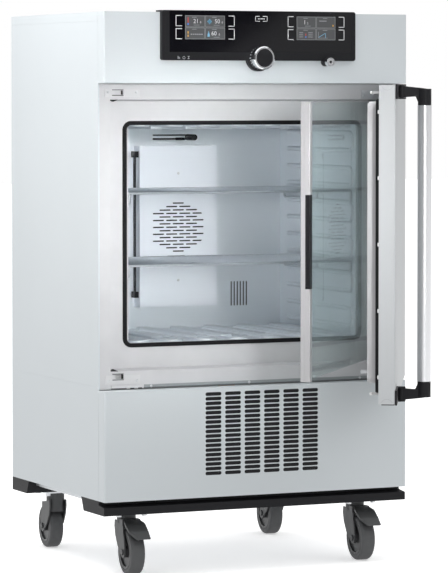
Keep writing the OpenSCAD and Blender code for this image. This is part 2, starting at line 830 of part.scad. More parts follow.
module compressor() color("#1e2022") place() translate([comp_x, comp_y, tray_z + tray_t]) {
    belt = comp_h * 0.42;
    translate([0, 0, 12]) rotate_extrude()
        polygon([[0, 0], [comp_r - 12, 0], [comp_r, 12], [comp_r, belt], [comp_r + 3, belt],
            [comp_r + 3, belt + 5], [comp_r, belt + 5], [comp_r - 4, comp_h - 34],
            [comp_r - 28, comp_h - 14], [0, comp_h - 12]]);
    for (y = [-40, 40]) {
        box([-comp_r, y - 14, 8], [comp_r, y + 14, 13]);
        for (x = [12 - comp_r, comp_r - 12]) rod_z(x, y, 0, 9, 10);
    }
}

module condenser() color("#8d9194") place() {
    y0 = cond_y;
    x0 = cfan_x - 140;
    x1 = cfan_x + 140;
    for (x = [x0, x1 - 3]) box([x, y0, cond_z0], [x + 3, y0 + 35, cond_z1]);
    box([x0 + 1, y0 + 6, cond_z0 + 5], [x1 - 1, y0 + 28, cond_z1 - 5]);
    for (i = [1:39]) box([x0 + i * 7, y0 + 2, cond_z0 + 8], [x0 + i * 7 + 1, y0 + 31, cond_z1 - 8]);
    difference() {
        box([x0 + 1, y0 + 34, cond_z0 + 1], [x1 - 1, y0 + 37, cond_z1 - 1]);
        rod_y(cfan_x, cfan_z, y0 + 33, y0 + 60, cfan_r + 3);
    }
    difference() {
        rod_y(cfan_x, cfan_z, y0 + 35.5, y0 + 60, cfan_r + 7);
        rod_y(cfan_x, cfan_z, y0 + 34, y0 + 61, cfan_r + 4);
    }
    for (a = [45:90:315]) translate([cfan_x, y0 + 57, cfan_z]) rotate([0, a, 0])
        box([22, -2, -4], [cfan_r + 5.5, 2, 4]);
    difference() {
        rod_y(cfan_x, cfan_z, y0 + 54.6, y0 + 100, 26);
        rod_y(cfan_x, cfan_z, y0 + 51, y0 + 80, shaft_r + fit);
    }
}

module condenser_fan() color("#2a2c2e") place() {
    y0 = cond_y + 37;
    rod_y(cfan_x, cfan_z, y0, y0 + 16, 22);
    rod_y(cfan_x, cfan_z, y0 + 10, y0 + 40, shaft_r);
    for (a = [0:72:288]) translate([cfan_x, y0 + 8, cfan_z]) rotate([0, a, 0]) rotate([28, 0, 0])
        translate([18, -1, -16]) cube([cfan_r - 20, 2, 32]);
}

// Soldered tube: straight legs between points with wider corner pieces
module pipe(p, r) {
    for (i = [0:len(p) - 2]) {
        d = p[i + 1] - p[i];
        translate(p[i]) rotate([0, acos(d[2] / norm(d)), atan2(d[1], d[0])])
            cylinder(r = r, h = norm(d), $fn = 24);
    }
    for (i = [1:len(p) - 2]) translate(p[i]) sphere(r + 1.2, $fn = 24);
}

module refrigerant_pipes() color("#b87333") place() {
    z = tray_z + tray_t;
    x0 = comp_x - comp_r - 60;
    x1 = cfan_x - 120;
    pipe([[comp_x - comp_r - touch, comp_y, z + 60], [x0, comp_y, z + 60], [x0, comp_y, z + 20],
        [x1, cond_y + 84, z + 20], [x1, cond_y + 37 + touch, z + 20]], 4);
    pipe([[comp_x, comp_y, z + comp_h + touch], [comp_x, comp_y, z + comp_h + 24],
        [comp_x, comp_y + 70, z + comp_h + 24]], 6);
}

module electronics_box() color("#a9aeb1") place() {
    z0 = tray_z + tray_t;
    y1 = case_d - 139;
    z1 = compartment_top() - sheet - 37.8;
    difference() {
        box([elec_x0, 120, z0], [elec_x1, y1, z1]);
        box([elec_x0 + 2, 122, z0 + 2], [elec_x1 - 2, y1 - 2, z1 - 2]);
        for (y = [160:22:358]) box([elec_x0 - 1, y, z0 + 40], [elec_x0 + 3, y + 6, z0 + 110]);
    }
}

module rear_housing() color("#d8dcde") place() {
    z0 = fan_z - 270;
    z1 = fan_z + 290;
    difference() {
        box([rear_in, case_d, z0], [case_w - rear_in, rear_y, z1]);
        box([rear_in + sheet, case_d - 1, z0 + sheet],
            [case_w - rear_in - sheet, rear_y - sheet, z1 - sheet]);
        for (c = [0:4], r = [0:9])
            slot_x(cx - 205 + c * 84, z0 + 40 + r * 16, rear_y - 9, rear_y + 9, 72, 6);
    }
}

module power_inlet() color("#1d1e1f") place() translate([inlet_x, case_d - touch, inlet_z]) {
    difference() {
        union() {
            box_y([-27, 0, -19], [27, 3, 19], 4);
            box([-19.8, -30, -13.8], [19.8, 1, 13.8]);
        }
        box([-15, -22, -10], [15, 9, 10]);
    }
    for (x = [-8, 0, 8]) translate([x, 0, x == 0 ? 4 : 0]) box([-1, -23, -3], [1, -6, 3]);
}

// Controls

module control_housing() color("#17181a") place() {
    x1 = panel_x0 + panel_w;
    difference() {
        union() {
            box_y([panel_x0, -panel_d, panel_z0], [x1, -touch, panel_z1], 5);
            box([panel_x0, -5, case_top + touch], [x1, 22, panel_z1]);
            rod_y(knob_x, knob_z, -panel_d, -touch, knob_r + 4);
            rod_y(knob_x, knob_z, -1, 14, 10);
            rod_y(button_x, button_z, -collar_y, -touch, collar_r);
        }
        box([panel_x0 + 17.6, -panel_d - 1, panel_z0 + 18], [x1 - 10.8, -panel_d + 2.5, panel_z1 - 1.4]);
        for (x = [panel_x0 + 54.7, x1 - 145.3])
            box([x, -panel_d, panel_z0 + 46], [x + 95.3, -panel_d + 4.6, panel_z0 + 97.8]);
        rod_y(knob_x, knob_z, -panel_d - 9, 20, shaft_r - 2 + fit);
        rod_y(button_x, button_z, -collar_y - 1, -8, button_r + fit);
    }
}

module control_glass() color("#101214") place() {
    box([panel_x0 + 17.7, -panel_d, panel_z0 + 18.1],
        [panel_x0 + panel_w - 10.9, -panel_d + 2.4, panel_z1 - 1.5]);
}

module displays() color("#6f7a80") place() {
    x1 = panel_x0 + panel_w;
    for (x = [panel_x0 + 54.7, x1 - 145.3])
        box([x + touch, -panel_d + 2.5, panel_z0 + 46.1], [x + 95.2, -panel_d + 4.5, panel_z0 + 97.7]);
}

module control_knob() color("#c8ccd0") place() {
    l = knob_y - panel_d - 0.5;
    difference() {
        union() {
            translate([knob_x, -panel_d - clear, knob_z]) rotate([90, 0, 0]) rotate_extrude()
                polygon([[0, 0], [knob_r, 0], [knob_r, l - 2.5], [knob_r - 2.5, l], [knob_r - 5, l],
                    [knob_r - 6, l - 2], [0, l - 2]]);
            rod_y(knob_x, knob_z, -panel_d - 1, 12, shaft_r - 2);
        }
        for (a = [0:15:345]) translate([knob_x, 0, knob_z]) rotate([0, a, 0])
            rod_y(knob_r + 0.4, 0, -knob_y + 8, -panel_d - 4, 1.2, $fn = 16);
    }
}

module power_button() color("#202224") place() {
    translate([button_x, -9, button_z]) rotate([90, 0, 0]) rotate_extrude()
        polygon([[0, 3], [button_r, 3], [button_r, collar_y - 10.6], [button_r - 1, collar_y - 9.6],
            [0, collar_y - 9.2]]);
}

// Hinges and caster plates

module hinge_brackets() color("#c9ccd0") place() {
    for (s = [0, 1]) {
        z0 = s == 0 ? door_z - 4.2 : door_z1 + 1.2;
        pz = s == 0 ? [z0 + 1, door_z + 16] : [door_z1 - 16, z0 + 2];
        box([dax - 16, day - 9, z0], [dax + 10, face_y, z0 + 3]);
        zp = s == 0 ? z0 - 5 : z0 - 18;
        box([dax - 16, face_y - sheet, zp], [dax + 10, face_y, zp + (s == 0 ? 23 : 21)]);
        rod_z(dax, day, pz[0], pz[1], pin_r);
    }
    for (s = [0, 1]) {
        z0 = s == 0 ? glass_z - 2.6 : glass_z1 + 0.5;
        pz = s == 0 ? [z0 + 0.8, glass_z + 14] : [glass_z1 - 14, z0 + 1.2];
        intersection() {
            box([glass_ax - 9, glass_front, z0], [recess_x1, glass_ay + 7, z0 + 2]);
            recess_pocket(-clear, recess_y);
        }
        rod_z(glass_ax, glass_ay, pz[0], pz[1], glass_pin_r);
    }
    box([glass_ax - 45.2, face_y - sheet, recess_z1 + 1.7], [glass_ax - 0.8, face_y, recess_z1 + 21]);
    box([glass_ax - 45.2, face_y - sheet, recess_z0 - 25], [glass_ax - 18, face_y, recess_z0 - 16]);
}

module caster_plates() color("#c4c7ca") for (i = [0:3]) {
    rear = i > 1;
    x0 = cx + (i % 2 == 0 ? -caster_x : caster_x);
    place() translate([x0, caster_y + (rear ? caster_base : 0), 0]) {
        box([-37, -37, block_z - 3.8], [37, 37, block_z]);
        rod_z(0, 0, head_z - 16, block_z - 1, king_r);
        for (x = [-30.5, 30.5], y = [-30.5, 30.5])
            rod_z(x, y, block_z - 9.5, block_z - 3, 6.5, $fn = 6);
    }
}

// Outer door, drawn closed and swung open

module door_shell() color("#dfe3e5") on_door() {
    difference() {
        translate([door_x, door_y, door_z]) linear_extrude(door_h) pan_plan(door_w, door_t, edge_r);
        difference() {
            box([door_x + sheet, door_y + sheet, door_z + sheet], [door_x1 - sheet, door_in - sheet, door_z1 - sheet]);
            for (z = [door_z, door_z1 - 22]) rod_z(dax, day, z, z + 22, pin_r + 4.5);
        }
        for (z = [door_z - 1, door_z1 - 20]) rod_z(dax, day, z, z + 21, pin_r + fit);
        box([plug_x0 + 12, door_in - 9, plug_z0 + 12], [plug_x1 - 12, door_in + 1, plug_z1 - 12]);
        for (z = hook_z) box([latch_x - 22, door_in - 9, z - 4], [latch_x + 7, door_in + 1, z + 4]);
    }
}

module door_plug() color("#e3e4e6") on_door() {
    y1 = door_in + plug_d;
    difference() {
        union() {
            box_y([plug_x0, door_in, plug_z0], [plug_x1, y1 - 3, plug_z1], 14);
            box_y([plug_x0 + 3, door_in, plug_z0 + 3], [plug_x1 - 3, y1, plug_z1 - 3], 11);
        }
        box_y([plug_x0 + 5, door_in - 1, plug_z0 + 5], [plug_x1 - 5, y1 - 3, plug_z1 - 5], 9);
    }
}

module door_gasket() color("#202122") on_door() {
    y1 = face_y - gasket_gap;
    difference() {
        union() {
            box_y([ring_x0, door_in, ring_z0], [ring_x1, y1 - 2, ring_z1], 12);
            box_y([ring_x0 + 1.2, door_in, ring_z0 + 1.2], [ring_x1 - 1.2, y1, ring_z1 - 1.2], 10.8);
        }
        box_y([plug_x0 - clear, door_in - 1, plug_z0 - clear], [plug_x1 + clear, y1 + 1, plug_z1 + clear], 14 + clear);
        box([plug_x0 - 30, door_in + 2.5, plug_z0 - 13], [plug_x1 + 13, y1 + 1, plug_z1 + 1]);
    }
}

module door_brackets() color("#1f2021") on_door() {
    for (s = [0, 1]) {
        z0 = s == 0 ? door_z - 2 : door_z1 + 1.5 - bracket_h;
        z1 = z0 + bracket_h;
        box([door_x, door_y - 4, z0], [hx - hub_r - 0.6, door_y, z1]);
        for (z = [z0, z1 - 3]) {
            box([hx - hub_r - 2, hy, z], [hx + hub_r, door_y, z + 3]);
            rod_z(hx, hy, z, z + 3, hub_r);
        }
        rod_z(hx, hy, z0, z1, pin_r);
        difference() {
            for (z = [hook_z[s] - 10, hook_z[s] + hook_t / 2 + 0.6])
                box([latch_x - 9, door_y + sheet + 1, z],
                    [latch_x + 9, door_in - sheet - touch, z + 9.4 - hook_t / 2]);
            rod_z(latch_x, latch_y, hook_z[s] - 20, hook_z[s] + 20, latch_r + fit);
        }
    }
}

module handle_tube() color("#b9bec2") on_door() {
    difference() {
        rod_z(hx, door_y - handle_n, tube_z0, tube_z1, tube_r);
        rod_z(hx, door_y - handle_n, tube_z0 - 1, tube_z1 + 1, tube_r - tube_wall);
    }
}

// Side view of a handle arm: n is the distance from the door's face, z the height
module arm_profile() {
    a = bracket_h - 6.6;
    n = handle_n;
    r = tube_r;
    polygon([[hub_n, 0], [hub_n, a], [n - 8, a - 4], [n + 6, a - 6], [n + 11, a - 12],
        [n + r - 1.5, 0], [n + r - 1.5, -11], [n - r + 1.5, -11], [n - r - 4, 2]]);
}

module handle_arms() color("#26282a") on_door() {
    for (s = [0, 1]) {
        z0 = s == 0 ? door_z - 2 + 3.3 : door_z1 + 1.5 - bracket_h + 3.3;
        h = bracket_h - 6.6;
        difference() {
            union() {
                rod_z(hx, hy, z0, z0 + h, hub_r);
                translate([hx - 8, door_y, s == 0 ? z0 + h : z0]) mirror([0, 0, 1 - s]) rotate([90, 0, 90])
                    linear_extrude(16) mirror([1, 0]) arm_profile();
                rod_z(hx, door_y - handle_n, s == 0 ? z0 + 6 : tube_z1 + touch,
                    s == 0 ? tube_z0 - touch : z0 + h - 6, tube_r - 0.5);
            }
            rod_z(hx, hy, z0 - 1, z0 + h + 1, pin_r + fit);
            box([hx - 30, door_y - handle_n - 30, s == 0 ? tube_z0 - touch : tube_z1 - 40],
                [hx + 30, door_y - 1, s == 0 ? tube_z0 + 40 : tube_z1 + touch]);
        }
    }
}

module latch_rod() color("#dcdedf") on_door() {
    rod_z(latch_x, latch_y, hook_z[0] - 10, hook_z[1] + 10, latch_r);
    tip = door_in + hook_reach;
    for (z = hook_z) translate([0, 0, z - hook_t / 2]) linear_extrude(hook_t) {
        translate([latch_x, latch_y]) circle(6.5);
        translate([latch_x - 3, latch_y]) square([6, tip - latch_y]);
        translate([latch_x - 12, tip - 5.5]) square([15, 5.5]);
        translate([latch_x - 12, tip - 2.75]) circle(2.75, $fn = 24);
    }
}

// Glass door, drawn closed and swung open

module glass_pane() color("#9fc3c4") on_glass() {
    box([glass_x + profile_w - 8 + touch, glass_y, glass_z + 1], [glass_ax - 3.1, glass_y + glass_t, glass_z1 - 1]);
}

module glass_profile() color("#c9ced2") on_glass() {
    x1 = glass_x + profile_w;
    difference() {
        box_z([glass_x, prof_y0, glass_z], [x1, prof_y1, glass_z1], 2);
        box([x1 - 8, glass_y - touch, glass_z - 1], [x1 + 1, glass_y + glass_t + touch, glass_z1 + 1]);
        box([glass_x - 1, prof_y0 + grip_w, glass_z - 1], [glass_x + 0.8, prof_y0 + grip_w + 1.4, glass_z1 + 1]);
        grip_pocket(0);
    }
}

// Notch over the profile's front edge that holds the grip, less a margin
module grip_pocket(m) {
    box([glass_x - 1, prof_y0 - 1, grip_z + m],
        [glass_x + profile_w + 1, prof_y0 + grip_w - m, grip_z + grip_l - m]);
}

module glass_grip() color("#1a1b1c") on_glass() {
    intersection() {
        box_z([glass_x, prof_y0, glass_z], [glass_x + profile_w, prof_y1, glass_z1], 2);
        difference() {
            grip_pocket(touch);
            box([glass_x - 1, prof_y0 + 2.6, grip_z + 6], [glass_x + 2.5, prof_y0 + grip_w - 1.6, grip_z + grip_l - 6]);
        }
    }
}

module glass_hinges() color("#8f9599") on_glass() {
    for (z = [glass_z, glass_z1 - 26]) difference() {
        box_z([glass_ax - 18, glass_front, z], [glass_ax + 5.9, glass_y + glass_t + 2, z + 26], 1);
        box([glass_ax - 19, glass_y - touch, z - 1], [glass_ax - 3, glass_y + glass_t + touch, z + 27]);
        rod_z(glass_ax, glass_ay, z - 1, z + 27, glass_pin_r + fit);
    }
}

// Shelves

// Upright wire loop with rounded corners, lying in the Y-Z plane
module wire_loop(x, y0, y1, z0, z1, bend) {
    for (z = [z0, z1]) rod_y(x, z, y0 + bend, y1 - bend, wire_r);
    for (y = [y0, y1]) rod_z(x, y, z0 + bend, z1 - bend, wire_r);
    for (c = [[y0 + bend, z0 + bend, 180], [y1 - bend, z0 + bend, 270],
        [y1 - bend, z1 - bend, 0], [y0 + bend, z1 - bend, 90]])
        translate([x, c[0], c[1]]) rotate([90, 0, 90]) rotate([0, 0, c[2]])
            rotate_extrude(angle = 90) translate([bend, 0]) circle(wire_r);
}

module shelf(n) {
    z0 = space_z + rib_pitch * (n + 0.5) + rib_half + bead_dz;
    z1 = z0 + loop_h;
    y0 = recess_y + shelf_front;
    y1 = y0 + shelf_l;
    bend = wire_r + 5;
    xa = sx0 + bead_x;
    xb = sx1 - bead_x;
    count = floor((xb - xa) / grid_pitch) - 1;
    first = ((xb - xa) - count * grid_pitch) / 2;
    for (x = [xa, xb]) {
        wire_loop(x, y0, y1, z0, z1, bend);
        rod_z(x, (y0 + y1) / 2, z0, z1, wire_r - 0.4);
    }
    for (y = [y0 + bend, y1 - bend]) rod_x(y, z1, xa, xb, wire_r - 0.4);
    for (i = [0:count])
        rod_y(xa + first + i * grid_pitch, z1 + 1, y0 + bend, y1 - bend, grid_r, $fn = 24);
}

module shelf_upper() color("#cdd2d6") place() shelf(shelf_up_bead);

module shelf_lower() color("#cdd2d6") place() shelf(shelf_low_bead);

// Casters

module caster_fork(i, braked) color("#4a4c4e") on_caster(i) {
    a = wheel_w / 2 + 1.6;
    b = a + 3.2;
    difference() {
        union() {
            difference() {
                union() {
                    rod_z(0, 0, wheel_r + 38, head_z, 21);
                    for (y = [b, -a]) translate([0, y, 0]) rotate([90, 0, 0]) linear_extrude(b - a) {
                        translate([trail, wheel_r]) circle(13);
                        polygon([[-19, wheel_r + 66], [-21, wheel_r + 52], [-15, wheel_r + 32], [0, wheel_r + 10],
                            [trail - 10, wheel_r - 8.3], [trail + 12.4, wheel_r + 4], [trail + 10, wheel_r + 26],
                            [trail + 2, wheel_r + 48], [trail - 8, wheel_r + 57]]);
                    }
                    intersection() {
                        translate([trail, b, wheel_r]) rotate([90, 0, 0]) cylinder(r = wheel_r + 7, h = 2 * b);
                        box([-21, -b, wheel_r + 34], [trail + 3, b, wheel_r + 60]);
                    }
                }
                translate([trail, a, wheel_r]) rotate([90, 0, 0]) cylinder(r = wheel_r + 3, h = 2 * a);
            }
            if (braked) for (y = [15.6, -b]) box([14, y, wheel_r + 54], [34, y + b - 15.6, wheel_r + 71]);
            if (braked) translate([28, b, wheel_r + 64.5]) rotate([90, 0, 0]) cylinder(r = 3, h = 2 * b);
            translate([trail, b + 1, wheel_r]) rotate([90, 0, 0]) cylinder(r = pin_r, h = 2 * b + 2);
            for (y = [b + 3, touch - b]) translate([trail, y, wheel_r]) rotate([90, 0, 0])
                cylinder(r = 7, h = 3 + touch, $fn = 6);
        }
        rod_z(0, 0, wheel_r, head_z + 1, king_r + fit);
    }
}

module caster_wheel(i) color("#6b6d6f") on_caster(i) {
    w = wheel_w / 2;
    translate([trail, 0, wheel_r]) rotate([90, 0, 0]) difference() {
        rotate_extrude() {
            translate([pin_r + fit, -w]) square([8, wheel_w]);
            translate([10, -w + 4]) square([wheel_r - 24, wheel_w - 8]);
            translate([wheel_r - 18, -w]) square([12, wheel_w]);
            translate([wheel_r - 12, -w + 6]) square([12, wheel_w - 12]);
            for (s = [-1, 1]) translate([wheel_r - 6, s * (w - 6)]) circle(6);
        }
        for (s = [-1, 1]) translate([0, 0, s * w]) difference() {
            translate([0, 0, -0.8]) cylinder(r = wheel_r - 11, h = 1.6);
            translate([0, 0, -2]) cylinder(r = wheel_r - 12.2, h = 4);
        }
    }
}

module brake_pedal(i) color("#505254") on_caster(i) {
    z = wheel_r;
    difference() {
        intersection() {
            union() {
                translate([0, 23, 0]) rotate([90, 0, 0]) linear_extrude(46)
                    polygon([[24, z + 70], [40, z + 71], [62, z + 63], [82, z + 50], [98, z + 36], [96, z + 33.6],
                        [80, z + 45.5], [60, z + 58.5], [40, z + 66.5], [24, z + 66]]);
                translate([28, 15.2, z + 64.5]) rotate([90, 0, 0]) cylinder(r = 6.3, h = 30.4);
            }
            translate([0, 0, z + 20]) linear_extrude(60) {
                translate([21.6, -15.2]) square([18, 30.4]);
                polygon([[36, -15.2], [48, -21], [62, -23], [80, -21], [99, -6], [99, 23], [56, 23], [36, 15.2]]);
            }
        }
        translate([28, 40, z + 64.5]) rotate([90, 0, 0]) cylinder(r = 3 + fit, h = 80);
    }
}

base_frame();
plinth_profile();
plinth_blocks();
side_panel_left();
side_panel_right();
top_cover();
rear_panel();
front_header();
lower_front_panel();
dust_filter();
door_frame();
latch_keepers();
cross_strip();
screws();
insulation();
liner();
inner_gasket();
duct_covers();
sensor_probes();
fan_motor();
evaporator();
compressor();
condenser();
refrigerant_pipes();
electronics_box();
compartment_floor();
rear_housing();
power_inlet();
control_housing();
control_glass();
displays();
hinge_brackets();
caster_plates();
fan_impeller();
condenser_fan();
control_knob();
power_button();
door_shell();
door_plug();
door_gasket();
door_brackets();
handle_tube();
handle_arms();
latch_rod();
glass_pane();
glass_profile();
glass_grip();
glass_hinges();
shelf_upper();
shelf_lower();
caster_fork(0, true);  // caster_fork_fl
caster_fork(1, true);  // caster_fork_fr
caster_fork(2, false);  // caster_fork_rl
caster_fork(3, false);  // caster_fork_rr
caster_wheel(0);  // caster_wheel_fl
caster_wheel(1);  // caster_wheel_fr
caster_wheel(2);  // caster_wheel_rl
caster_wheel(3);  // caster_wheel_rr
brake_pedal(0);  // brake_pedal_fl
brake_pedal(1);  // brake_pedal_fr
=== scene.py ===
"""Looks of an environmental test chamber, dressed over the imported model.

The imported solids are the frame. This script gives every solid its finish, adds the small
pieces that the solids leave out, and sets a pale studio with the camera at the view of
the photograph.
"""

from __future__ import annotations

import logging
import math
from dataclasses import dataclass
from enum import Enum
from typing import Callable, Sequence

import bmesh
import bpy
from mathutils import Matrix, Vector

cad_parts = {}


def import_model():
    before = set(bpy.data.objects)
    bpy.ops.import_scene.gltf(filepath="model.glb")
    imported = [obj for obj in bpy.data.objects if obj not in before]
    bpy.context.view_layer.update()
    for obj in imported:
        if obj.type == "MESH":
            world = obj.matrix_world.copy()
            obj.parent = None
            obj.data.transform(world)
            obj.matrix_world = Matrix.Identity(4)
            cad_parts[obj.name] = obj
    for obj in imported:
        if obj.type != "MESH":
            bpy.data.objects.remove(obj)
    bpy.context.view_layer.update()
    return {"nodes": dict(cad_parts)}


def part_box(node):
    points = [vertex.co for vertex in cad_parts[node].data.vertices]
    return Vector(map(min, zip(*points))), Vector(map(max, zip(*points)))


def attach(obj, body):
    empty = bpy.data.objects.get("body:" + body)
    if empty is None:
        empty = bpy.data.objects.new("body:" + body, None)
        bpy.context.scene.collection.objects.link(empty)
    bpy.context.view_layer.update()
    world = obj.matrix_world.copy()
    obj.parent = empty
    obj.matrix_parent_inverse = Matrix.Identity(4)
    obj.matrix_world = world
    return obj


log = logging.getLogger("chamber")

Piece = bpy.types.Object
Pair = tuple[float, float]
Triple = tuple[float, float, float]
Colour = tuple[float, float, float]
# Left, bottom, right and top of a thin plate that faces the front.
Plate = tuple[float, float, float, float]

MM_PER_M = 1000.0
# Cabinet coordinates (millimetres, left front corner) of the row frame's origin.
ORIGIN_MM: Triple = (372.0983, 27.1085, 0.0)
FRONT = Vector((0.0, -1.0, 0.0))
# Turn that stands a flat primitive up to face the front.
UPRIGHT: Triple = (math.pi / 2.0, 0.0, 0.0)
# Font size for each millimetre of a numeral's height, and steps of its curves.
FONT_SIZE = 1.4
FONT_STEPS = 3
# Points this near a block's end belong to its side (metres).
SIDE_DEPTH = 0.001
# Heading of the wheel axles at rest, from the cabinet's width.
AXLE_DEG = -4.0


class Direction(Enum):
    """Axis along which a metal surface was brushed."""

    X = 0
    Y = 1
    Z = 2


class Tile(Enum):
    """Tiles of the two displays, the left display first, each from the upper left."""

    WARMTH = 0
    FAN = 1
    TIMER = 2
    MOISTURE = 3
    PROGRAM = 4
    STATE = 5
    LEVELS = 6
    CURVE = 7


def at(x: float, y: float, z: float) -> Vector:
    """Return a cabinet point in millimetres as a point of the row frame in metres."""
    return Vector((x - ORIGIN_MM[0], y - ORIGIN_MM[1], z - ORIGIN_MM[2])) / MM_PER_M


def box_mm(node: str) -> tuple[Vector, Vector]:
    """Return a node's lowest and highest corners in cabinet millimetres."""
    low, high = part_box(node)
    return low * MM_PER_M + Vector(ORIGIN_MM), high * MM_PER_M + Vector(ORIGIN_MM)


def swing(axis_mm: Pair, degrees: float) -> Matrix:
    """Return the matrix that turns a closed door to its modelled opening.

    Args:
        axis_mm: Hinge axis in cabinet millimetres.
        degrees: Opening angle.

    Returns:
        A 4x4 matrix in the row frame.
    """
    pivot = at(axis_mm[0], axis_mm[1], 0.0)
    turn = Matrix.Rotation(math.radians(degrees), 4, "Z")
    return Matrix.Translation(pivot) @ turn @ Matrix.Translation(-pivot)


def repeated(plate: Plate, count: int, step: Pair) -> list[Plate]:
    """Copy a plate along a step.

    Args:
        plate: The first plate.
        count: Number of plates.
        step: Way to the right and up from one to the next.

    Returns:
        The plates.
    """
    left, bottom, right, top = plate
    moves = [(i * step[0], i * step[1]) for i in range(count)]
    return [(left + x, bottom + z, right + x, top + z) for x, z in moves]


def shade(colour: Colour, factor: float) -> Colour:
    """Return a colour made lighter or darker."""
    return tuple(min(1.0, c * factor) for c in colour)


class Expr:
    """A shader socket that can be used in Python arithmetic."""

    def __init__(self, nodes: Nodes, socket: bpy.types.NodeSocket) -> None:
        """Wrap a socket of a node tree."""
        self.nodes = nodes
        self.socket = socket

    def _math(self, operation: str, first: object, second: object) -> Expr:
        """Add one Math node and return its result."""
        node = self.nodes.node("ShaderNodeMath", {"operation": operation}, {0: first, 1: second})
        return Expr(self.nodes, node.outputs[0])

    def __add__(self, other: object) -> Expr:
        """Return the sum."""
        return self._math("ADD", self, other)

    __radd__ = __add__

    def __mul__(self, other: object) -> Expr:
        """Return the product."""
        return self._math("MULTIPLY", self, other)

    __rmul__ = __mul__

    def above(self, limit: float) -> Expr:
        """Return 1 where the value is above the limit, else 0."""
        return self._math("GREATER_THAN", self, limit)

    def about(self, middle: float, spread: float) -> Expr:
        """Return a 0 to 1 value as a number that varies about a middle by a spread."""
        return self * spread + (middle - spread / 2.0)


class Nodes:
    """The nodes of a material or of the world."""

    def __init__(self, tree: bpy.types.NodeTree) -> None:
        """Keep the tree that the nodes go into."""
        self.tree = tree

    def node(self, kind: str, settings: dict[str, object] | None = None,
             inputs: dict[int | str, object] | None = None) -> bpy.types.Node:
        """Add a node with its settings and its inputs.

        Args:
            kind: Blender's node type.
            settings: Properties set on the node first.
            inputs: Values, expressions or sockets by input name or number.

        Returns:
            The new node.
        """
        made = self.tree.nodes.new(kind)
        for key, value in (settings or {}).items():
            setattr(made, key, value)
        for key, value in (inputs or {}).items():
            self.feed(made.inputs[key], value)
        return made

    def feed(self, socket: bpy.types.NodeSocket, value: object) -> None:
        """Give a socket a value or a link.

        Args:
            socket: The input.
            value: A number, colour, expression or socket.
        """
        if isinstance(value, Expr):
            self.tree.links.new(value.socket, socket)
        elif isinstance(value, bpy.types.NodeSocket):
            self.tree.links.new(value, socket)
        elif isinstance(value, (tuple, list)) and len(value) == 3 and socket.type == "RGBA":
            socket.default_value = (*value, 1.0)
        else:
            socket.default_value = value


class Shader(Nodes):
    """A procedural material built around one Principled shader."""

    def __init__(self, name: str) -> None:
        """Create the material and find its shader.

        Args:
            name: Name of the material.
        """
        self.material = bpy.data.materials.new(name)
        self.material.use_nodes = True
        super().__init__(self.material.node_tree)
        self.bsdf = next(n for n in self.tree.nodes if n.type == "BSDF_PRINCIPLED")

    def set(self, **values: object) -> None:
        """Set or link inputs of the Principled shader, with spaces written as underscores."""
        for key, value in values.items():
            self.feed(self.bsdf.inputs[key.replace("_", " ").title().replace("Ior", "IOR")], value)

    def coords(self, scale: Triple = (1.0, 1.0, 1.0)) -> bpy.types.NodeSocket:
        """Return Object coordinates in metres times a scale."""
        place = self.node("ShaderNodeTexCoord").outputs["Object"]
        return self.node("ShaderNodeMapping", {}, {"Vector": place, "Scale": scale}).outputs[0]

    def noise(self, scale: float, detail: float = 2.0, stretch: Triple = (1.0, 1.0, 1.0)) -> Expr:
        """Return a noise value between 0 and 1.

        Args:
            scale: Cells per metre.
            detail: Octaves.
            stretch: Scale of each axis before the noise.

        Returns:
            The noise as an expression.
        """
        made = self.node("ShaderNodeTexNoise", {"noise_dimensions": "3D"},
                         {"Vector": self.coords(stretch), "Scale": scale, "Detail": detail})
        return Expr(self, made.outputs[0])

    def blend(self, factor: object, first: object, second: object) -> Expr:
        """Return a colour between two colours."""
        mix = self.node("ShaderNodeMix", {"data_type": "RGBA"}, {0: factor, 6: first, 7: second})
        return Expr(self, mix.outputs[2])

    def tones(self, factor: object, colour: Colour, span: Pair) -> Expr:
        """Return a colour that runs between a darker and a lighter tone of itself."""
        return self.blend(factor, shade(colour, span[0]), shade(colour, span[1]))

    def from_axis(self, centre: Triple, heading: Triple) -> Expr:
        """Return the distance in metres from an axis.

        Args:
            centre: Point on the axis.
            heading: Unit vector along it.

        Returns:
            The distance as an expression.
        """
        kind = "ShaderNodeVectorMath"
        place = self.node("ShaderNodeTexCoord").outputs["Object"]
        spoke = self.node(kind, {"operation": "SUBTRACT"}, {0: place, 1: centre})
        across = self.node(kind, {"operation": "CROSS_PRODUCT"}, {0: spoke.outputs[0], 1: heading})
        length = self.node(kind, {"operation": "LENGTH"}, {0: across.outputs[0]})
        return Expr(self, length.outputs["Value"])

    def bump(self, height: Expr, distance: float, strength: float = 1.0) -> bpy.types.NodeSocket:
        """Return a normal from a height, with the distance in metres."""
        inputs = {"Height": height, "Distance": distance, "Strength": strength}
        return self.node("ShaderNodeBump", {}, inputs).outputs[0]


# In the finishes below, grain, cloud, streak, dust, marks, cells, film and dots are cells per
# metre of a noise, depth is a bump in metres, tones are the darkest and lightest factor of the
# colour, and sway is the change of roughness over the surface.


@dataclass(frozen=True)
class PowderCoat:
    """Fine textured paint on sheet metal."""

    name: str
    colour: Colour
    rough: float = 0.5
    sway: float = 0.12
    tones: Pair = (0.965, 1.02)
    grain: float = 1100.0
    cloud: float = 5.0
    grain_share: float = 0.35
    depth: float = 0.00006

    def make(self) -> bpy.types.Material:
        """Return the material."""
        s = Shader(self.name)
        grain = s.noise(self.grain, 3.0)
        tone = grain * self.grain_share + s.noise(self.cloud) * (1.0 - self.grain_share)
        s.set(base_color=s.tones(tone, self.colour, self.tones),
              roughness=grain.about(self.rough, self.sway), normal=s.bump(grain, self.depth))
        return s.material


